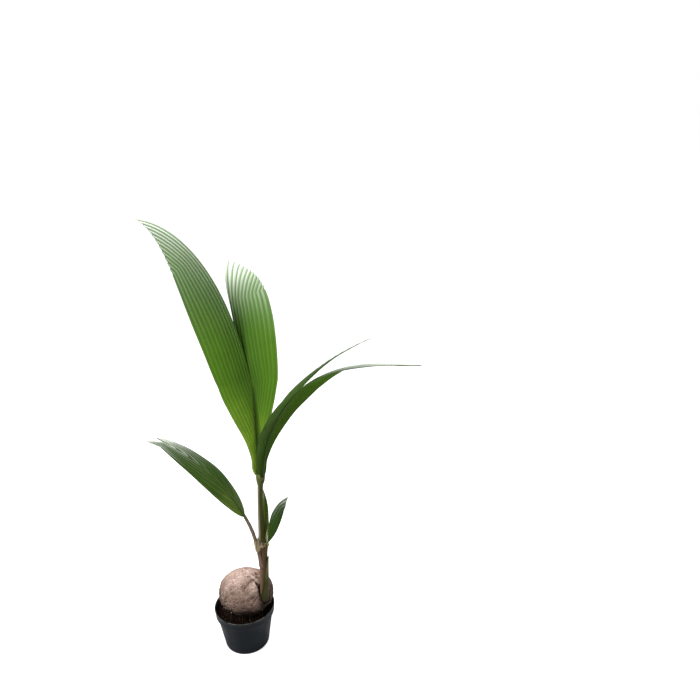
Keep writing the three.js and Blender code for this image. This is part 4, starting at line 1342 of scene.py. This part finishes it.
def scale_finish():
    """Olive scale with fine lengthwise fibres, a thin dry edge and a dark tip."""
    n = Finish("foot scale", 0.06)
    run, edge, pick = n.fields("run", "edge", "pick")
    streaks = n.grain(n.vector(pick, run), (30.0, 2.0, 1.0), 0.2)
    colour = n.coats(
        n.tint(streaks, (0.085, 0.082, 0.018), (0.036, 0.036, 0.01)),
        (n.band(run, 0.45, 0.8, 0.0, 0.85), (0.24, 0.215, 0.085)),
        # Painted shadow along its left edge, where it lies against the stem.
        (n.band(pick, 0.02, 0.3, 0.7, 0.0), (0.012, 0.009, 0.005)),
        (n.band(run, 0.0, 0.3, 0.7, 0.0), (0.03, 0.024, 0.01)),
        (n.band(edge, 0.02, 0.16, 0.5, 0.0), (0.11, 0.08, 0.035)),
        (n.band(run, 0.88, 1.0, 0.0, 0.9), (0.03, 0.024, 0.012)))
    return n.done(colour, n.band(streaks, 0.0, 1.0, 0.42, 0.6), streaks, 0.35)


def fibre_finish(name, pale, dark):
    """Dry plant fibre: each strand its own shade, darker at its root."""
    n = Finish(name, 0.2)
    pick, run = n.fields("pick", "run")
    specks = n.mottle(300.0, 0.15)
    colour = n.coats(
        n.tint(pick, dark, pale), (n.times(specks, 0.4), dark), (n.band(run, 0.0, 0.3, 0.5, 0.0), dark))
    return n.done(colour, 0.8, specks, 0.2)


def husk_finish():
    """Dry husk: pinkish brown fibres, paler on top with painted light, darker below with dirt and painted
    shade, and near black with painted shade in its split and creases.
    """
    n = Finish("coconut husk", 0.12)
    hollow, relief, soil_and_shade, shade, pale = n.fields("hollow", "relief", "soil_and_shade", "shade", "pale")
    slant = n.add("ShaderNodeMapping", {"Vector": n.place(), "Rotation": (0.0, 0.9, 0.25)})
    slanted = slant.outputs["Vector"]
    strand = n.grain(slanted, (55.0, 300.0, 300.0), 0.16)
    thread = n.grain(slanted, (90.0, 800.0, 800.0), 0.22)
    colour = n.coats(
        n.tint(strand, (0.42, 0.29, 0.24), (0.165, 0.1, 0.075)),
        (n.times(n.mottle(17.0, 0.2, slanted), 0.35), (0.26, 0.19, 0.14)),
        # Paler in random patches, on the raised flap, and with painted light on top.
        (n.times(pale, 0.8), n.tint(strand, (0.82, 0.64, 0.56), (0.44, 0.31, 0.255))),
        (n.times(thread, 0.45), (0.12, 0.07, 0.05)),
        # Painted shade in the hollows of the wrinkles.
        (n.band(relief, -2.4, 0.4, 0.85, 0.0), (0.075, 0.04, 0.028)),
        (n.times(shade, 0.85), (0.03, 0.022, 0.018)),
        # Dirt and painted shade towards the bottom.
        (n.band(soil_and_shade, 0.0, 1.0, 0.0, 0.96), SOIL_AND_SHADE_DARK),
        # Painted shade, near black, in the split, the folds and round the stem's foot.
        (n.band(hollow, 0.4, 3.2), SOIL_AND_SHADE_DARK))
    return n.done(colour, 0.86, n.plus(n.times(strand, -1.0), n.times(thread, -0.5)), 0.9)


def compost_finish():
    """Damp dark compost, with brown bark showing through."""
    n = Finish("compost", 0.04)
    (pick,) = n.fields("pick")
    grit = n.mottle(620.0, 0.14)
    colour = n.coats(
        n.tint(n.mottle(140.0, 0.12), (0.003, 0.0018, 0.0013), (0.008, 0.0045, 0.003)),
        (n.times(grit, 0.5), (0.003, 0.002, 0.0015)),
        (n.band(pick, 0.85, 1.0, 0.0, 0.5), (0.04, 0.02, 0.01)))
    return n.done(colour, n.band(grit, 0.0, 1.0, 0.7, 0.95), grit, 0.9)


def pot_finish():
    """Black moulded plastic: faint mottling, fine scratches, dust and a painted highlight along the rim."""
    n = Finish("pot plastic", 0.12)
    rim, height = n.fields("rim", "height")
    patches = n.mottle(30.0, 0.14)
    scratches = n.grain(n.place(), (90.0, 90.0, 700.0), 0.1)
    # Painted highlight along the rim, where the light catches its edge.
    painted_rim_highlight = n.times(rim, n.mottle(36.0, 0.1))
    colour = n.coats(
        n.tint(patches, (0.004, 0.0075, 0.0115), (0.007, 0.0115, 0.0165)),
        (n.times(scratches, 0.06), (0.05, 0.052, 0.054)),
        (n.dust(48.0, 0.12), (0.10, 0.085, 0.065)),
        (n.times(painted_rim_highlight, 0.5), (0.2, 0.17, 0.15)),
        (n.band(height, 0.0, 12.0, 0.12, 0.0), (0.06, 0.05, 0.04)))
    relief = n.plus(n.mottle(900.0, 0.2), n.times(scratches, 0.4))
    return n.done(colour, n.band(patches, 0.0, 1.0, 0.38, 0.52), relief, 0.06)


def floor_finish():
    """A pale floor that looks white without throwing much light back up."""
    n = Finish("pale floor", 0.1)
    n.give("Base Color", n.tint(n.mottle(1.5, 0.3), (0.45, 0.45, 0.45), (0.48, 0.48, 0.48)))
    n.give("Roughness", 0.9)
    seen = n.add("ShaderNodeLightPath", {}).outputs["Is Camera Ray"]
    n.give("Emission Color", n.tint(seen, (0.0, 0.0, 0.0), (0.8, 0.8, 0.8)))
    n.give("Emission Strength", 1.0)
    return n.material


# Building


def build_leaves():
    """Four leaves, with their own greens above, one green below, and a finish for each stalk."""
    greens = {
        "left_leaf": {
            "foot": (0.095, 0.165, 0.015), "foot_inner": (0.075, 0.14, 0.013),
            "outer": (0.024, 0.055, 0.006), "inner": (0.032, 0.07, 0.008),
            "rib": (0.07, 0.12, 0.035), "valley": (0.012, 0.032, 0.003), "trough": (0.02, 0.045, 0.004),
            "gloss": 0.42, "shine": 0.04, "crest": (0.04, 0.3, 2.6, 0.1),
        },
        "small_leaf": {
            "foot": (0.04, 0.078, 0.007), "foot_inner": (0.06, 0.1, 0.01),
            "outer": (0.016, 0.044, 0.004), "inner": (0.024, 0.062, 0.006),
            "rib": (0.05, 0.095, 0.018), "valley": (0.008, 0.024, 0.003), "trough": (0.03, 0.05, 0.006),
            "gloss": 0.38, "shine": 0.05,
        },
        "arching_leaf": {
            "foot": (0.01, 0.019, 0.003), "foot_inner": (0.011, 0.022, 0.003),
            "outer": (0.02, 0.052, 0.004), "inner": (0.024, 0.062, 0.005),
            "rib": (0.032, 0.075, 0.014), "valley": (0.012, 0.034, 0.003), "trough": (0.012, 0.028, 0.003),
            "gloss": 0.42, "shine": 0.04, "rim": (0.4, 12.0, 0.3), "highlight_share": 0.6,
        },
        "tall_leaf": {
            # Painted light: the tall leaf's foot is painted bright yellow-green in place of light shining
            # through the thin blade.
            "foot": (0.26, 0.43, 0.03), "foot_inner": (0.14, 0.26, 0.015),
            "outer": (0.085, 0.2, 0.009), "inner": (0.044, 0.11, 0.007),
            "rib": (0.14, 0.26, 0.05), "valley": (0.018, 0.055, 0.005), "trough": (0.022, 0.05, 0.004),
            "gloss": 0.42, "shine": 0.05, "rim": (0.7, 7.0, 0.2),
        },
    }
    # The underside's greens are painted brighter than its own colour, standing partly for light shining
    # through the blade.
    underside = leaf_green(
        "leaf underside", foot=(0.032, 0.062, 0.004), foot_inner=(0.032, 0.064, 0.004),
        outer=(0.1, 0.24, 0.008), inner=(0.085, 0.21, 0.007), rib=(0.13, 0.28, 0.02),
        valley=(0.05, 0.13, 0.006), trough=(0.016, 0.036, 0.003), gloss=0.5, shine=0.03, dusty=0.0,
        foot_run=(0.3, 0.6))
    ribs = {
        "left_leaf": midrib_finish(
            "left leaf stalk", shaft=(0.27, 0.21, 0.155), light=(0.38, 0.32, 0.25), dark=(0.1, 0.068, 0.05),
            green=(0.06, 0.11, 0.02), greens_from=(82, 118)),
        # Painted light: the small leaf's stalk and sheath are painted far paler than their own olive, so that
        # they look lit where they lie in the stem's shade.
        "small_leaf": midrib_finish(
            "small leaf stalk", shaft=(0.6, 0.64, 0.22), light=(0.66, 0.7, 0.26), dark=(0.36, 0.4, 0.1),
            green=(0.16, 0.22, 0.04), greens_from=(40, 67),
            sheathing=((0.46, 0.48, 0.16), (0.24, 0.26, 0.07))),
        "arching_leaf": midrib_finish(
            "arching leaf midrib", shaft=(0.034, 0.068, 0.005), light=(0.05, 0.085, 0.01),
            dark=(0.024, 0.05, 0.004), green=(0.036, 0.09, 0.005), greens_from=(10, 120)),
        "tall_leaf": midrib_finish(
            "tall leaf midrib", shaft=(0.035, 0.062, 0.007), light=(0.07, 0.1, 0.02),
            dark=(0.02, 0.038, 0.004), green=(0.05, 0.085, 0.012), greens_from=(220, 300),
            root=(0.035, 0.07, 0.005)),
    }
    seed = 1
    for leaf_name, leaf in LEAVES.items():
        upper = leaf_green(f"{leaf_name} green", **greens[leaf_name])
        for half_name, half in leaf["halves"].items():
            node = f"{leaf_name}_{half_name}"
            settle(blade(f"{node}_blade", leaf, half, [upper, underside], seed), "leaf", node)
            seed += 1
        settle(midrib(f"{leaf_name}_midrib", leaf, ribs[leaf_name]), "leaf_stalk", f"{leaf_name}_stalk")


def build_stem():
    settle(sheathed_stem(stem_finish()), "stem", "stem")
    dry = fibre_finish("dry sheath fibre", (0.46, 0.34, 0.18), (0.08, 0.05, 0.022))
    settle(torn_collar(dry), "sheath_fibre", "fibre_collar")
    loose = fibre_finish("loose sheath fibre", (0.9, 0.76, 0.52), (0.44, 0.34, 0.2))
    settle(collar_fibres(loose), "sheath_fibre")
    settle(foot_scale(scale_finish()), "stem", "base_scale")


def build_nut():
    settle(husk(husk_finish()), "husk", "coconut_husk")
    settle(husk_fibres(fibre_finish("husk fibre", (0.5, 0.38, 0.28), (0.06, 0.035, 0.022))), "husk")


def build_pot():
    settle(pot(pot_finish()), "pot_plastic", "pot")
    dark = compost_finish()
    settle(compost(dark), "soil", "soil")
    settle(crumbs(dark), "soil")
    threads = fibre_finish("root thread", (0.09, 0.048, 0.026), (0.01, 0.006, 0.004))
    settle(compost_roots(threads), "soil")
    settle(husk_threads(threads), "soil")
    settle(pale_grains(fibre_finish("pale grain", (0.62, 0.58, 0.54), (0.36, 0.32, 0.28))), "soil")


# Stage

CAMERA = {"place": (358, -1820, 1716), "pitch": 21.1, "roll": -1.2, "lens": 36}


def build_camera():
    data = bpy.data.cameras.new("camera")
    data.lens = CAMERA["lens"]
    data.sensor_width = 36
    camera = bpy.data.objects.new("camera", data)
    bpy.context.scene.collection.objects.link(camera)
    pitch = Matrix.Rotation(math.radians(90 - CAMERA["pitch"]), 4, "X")
    roll = Matrix.Rotation(math.radians(CAMERA["roll"]), 4, "Z")
    camera.matrix_world = Matrix.Translation(Vector(CAMERA["place"]) * MM) @ pitch @ roll
    bpy.context.scene.camera = camera


def build_floor():
    """A pale floor that sweeps up into a wall behind."""
    near, back, bend, top, half = -6000, 3200, 1600, 7000, 7000
    arc = [(back + bend * math.sin(a), bend - bend * math.cos(a)) for a in np.linspace(0, math.pi / 2, 24)]
    line = [(near, 0), *arc, (back + bend, top)]
    corners = [(x, y, z) for y, z in line for x in (-half, half)]
    faces = [[2 * k, 2 * k + 1, 2 * k + 3, 2 * k + 2] for k in range(len(line) - 1)]
    make_piece("floor", corners, faces, [floor_finish()])


def area_light(name, place, aim, size, watts):
    data = bpy.data.lights.new(name, "AREA")
    data.shape = "RECTANGLE"
    data.size, data.size_y = size[0] * MM, size[1] * MM
    data.energy = watts
    light = bpy.data.objects.new(name, data)
    light.location = Vector(place) * MM
    light.rotation_mode = "QUATERNION"
    light.rotation_quaternion = (Vector(aim) - Vector(place)).to_track_quat("-Z", "Y")
    bpy.context.scene.collection.objects.link(light)


def build_light():
    area_light("key from top left", (-1300, -900, 3200), (60, 0, 650), (1300, 1300), 120)
    area_light("overhead", (200, 1300, 3300), (60, 0, 800), (2400, 1800), 130)
    area_light("fill from the right", (2600, -1200, 2200), (60, 0, 500), (1800, 1800), 14)
    world = bpy.data.worlds.new("studio")
    world.use_nodes = True
    n = Nodes(world.node_tree)
    seen = n.add("ShaderNodeLightPath", {}).outputs["Is Camera Ray"]
    backdrop = world.node_tree.nodes["Background"]
    backdrop.inputs["Color"].default_value = (1, 1, 1, 1)
    n.feed(backdrop.inputs["Strength"], n.band(seen, 0.0, 1.0, 0.34, 1.0))
    bpy.context.scene.world = world
    bpy.context.scene.view_settings.view_transform = "Standard"


build_pot()
build_nut()
build_stem()
build_leaves()
build_camera()
build_floor()
build_light()
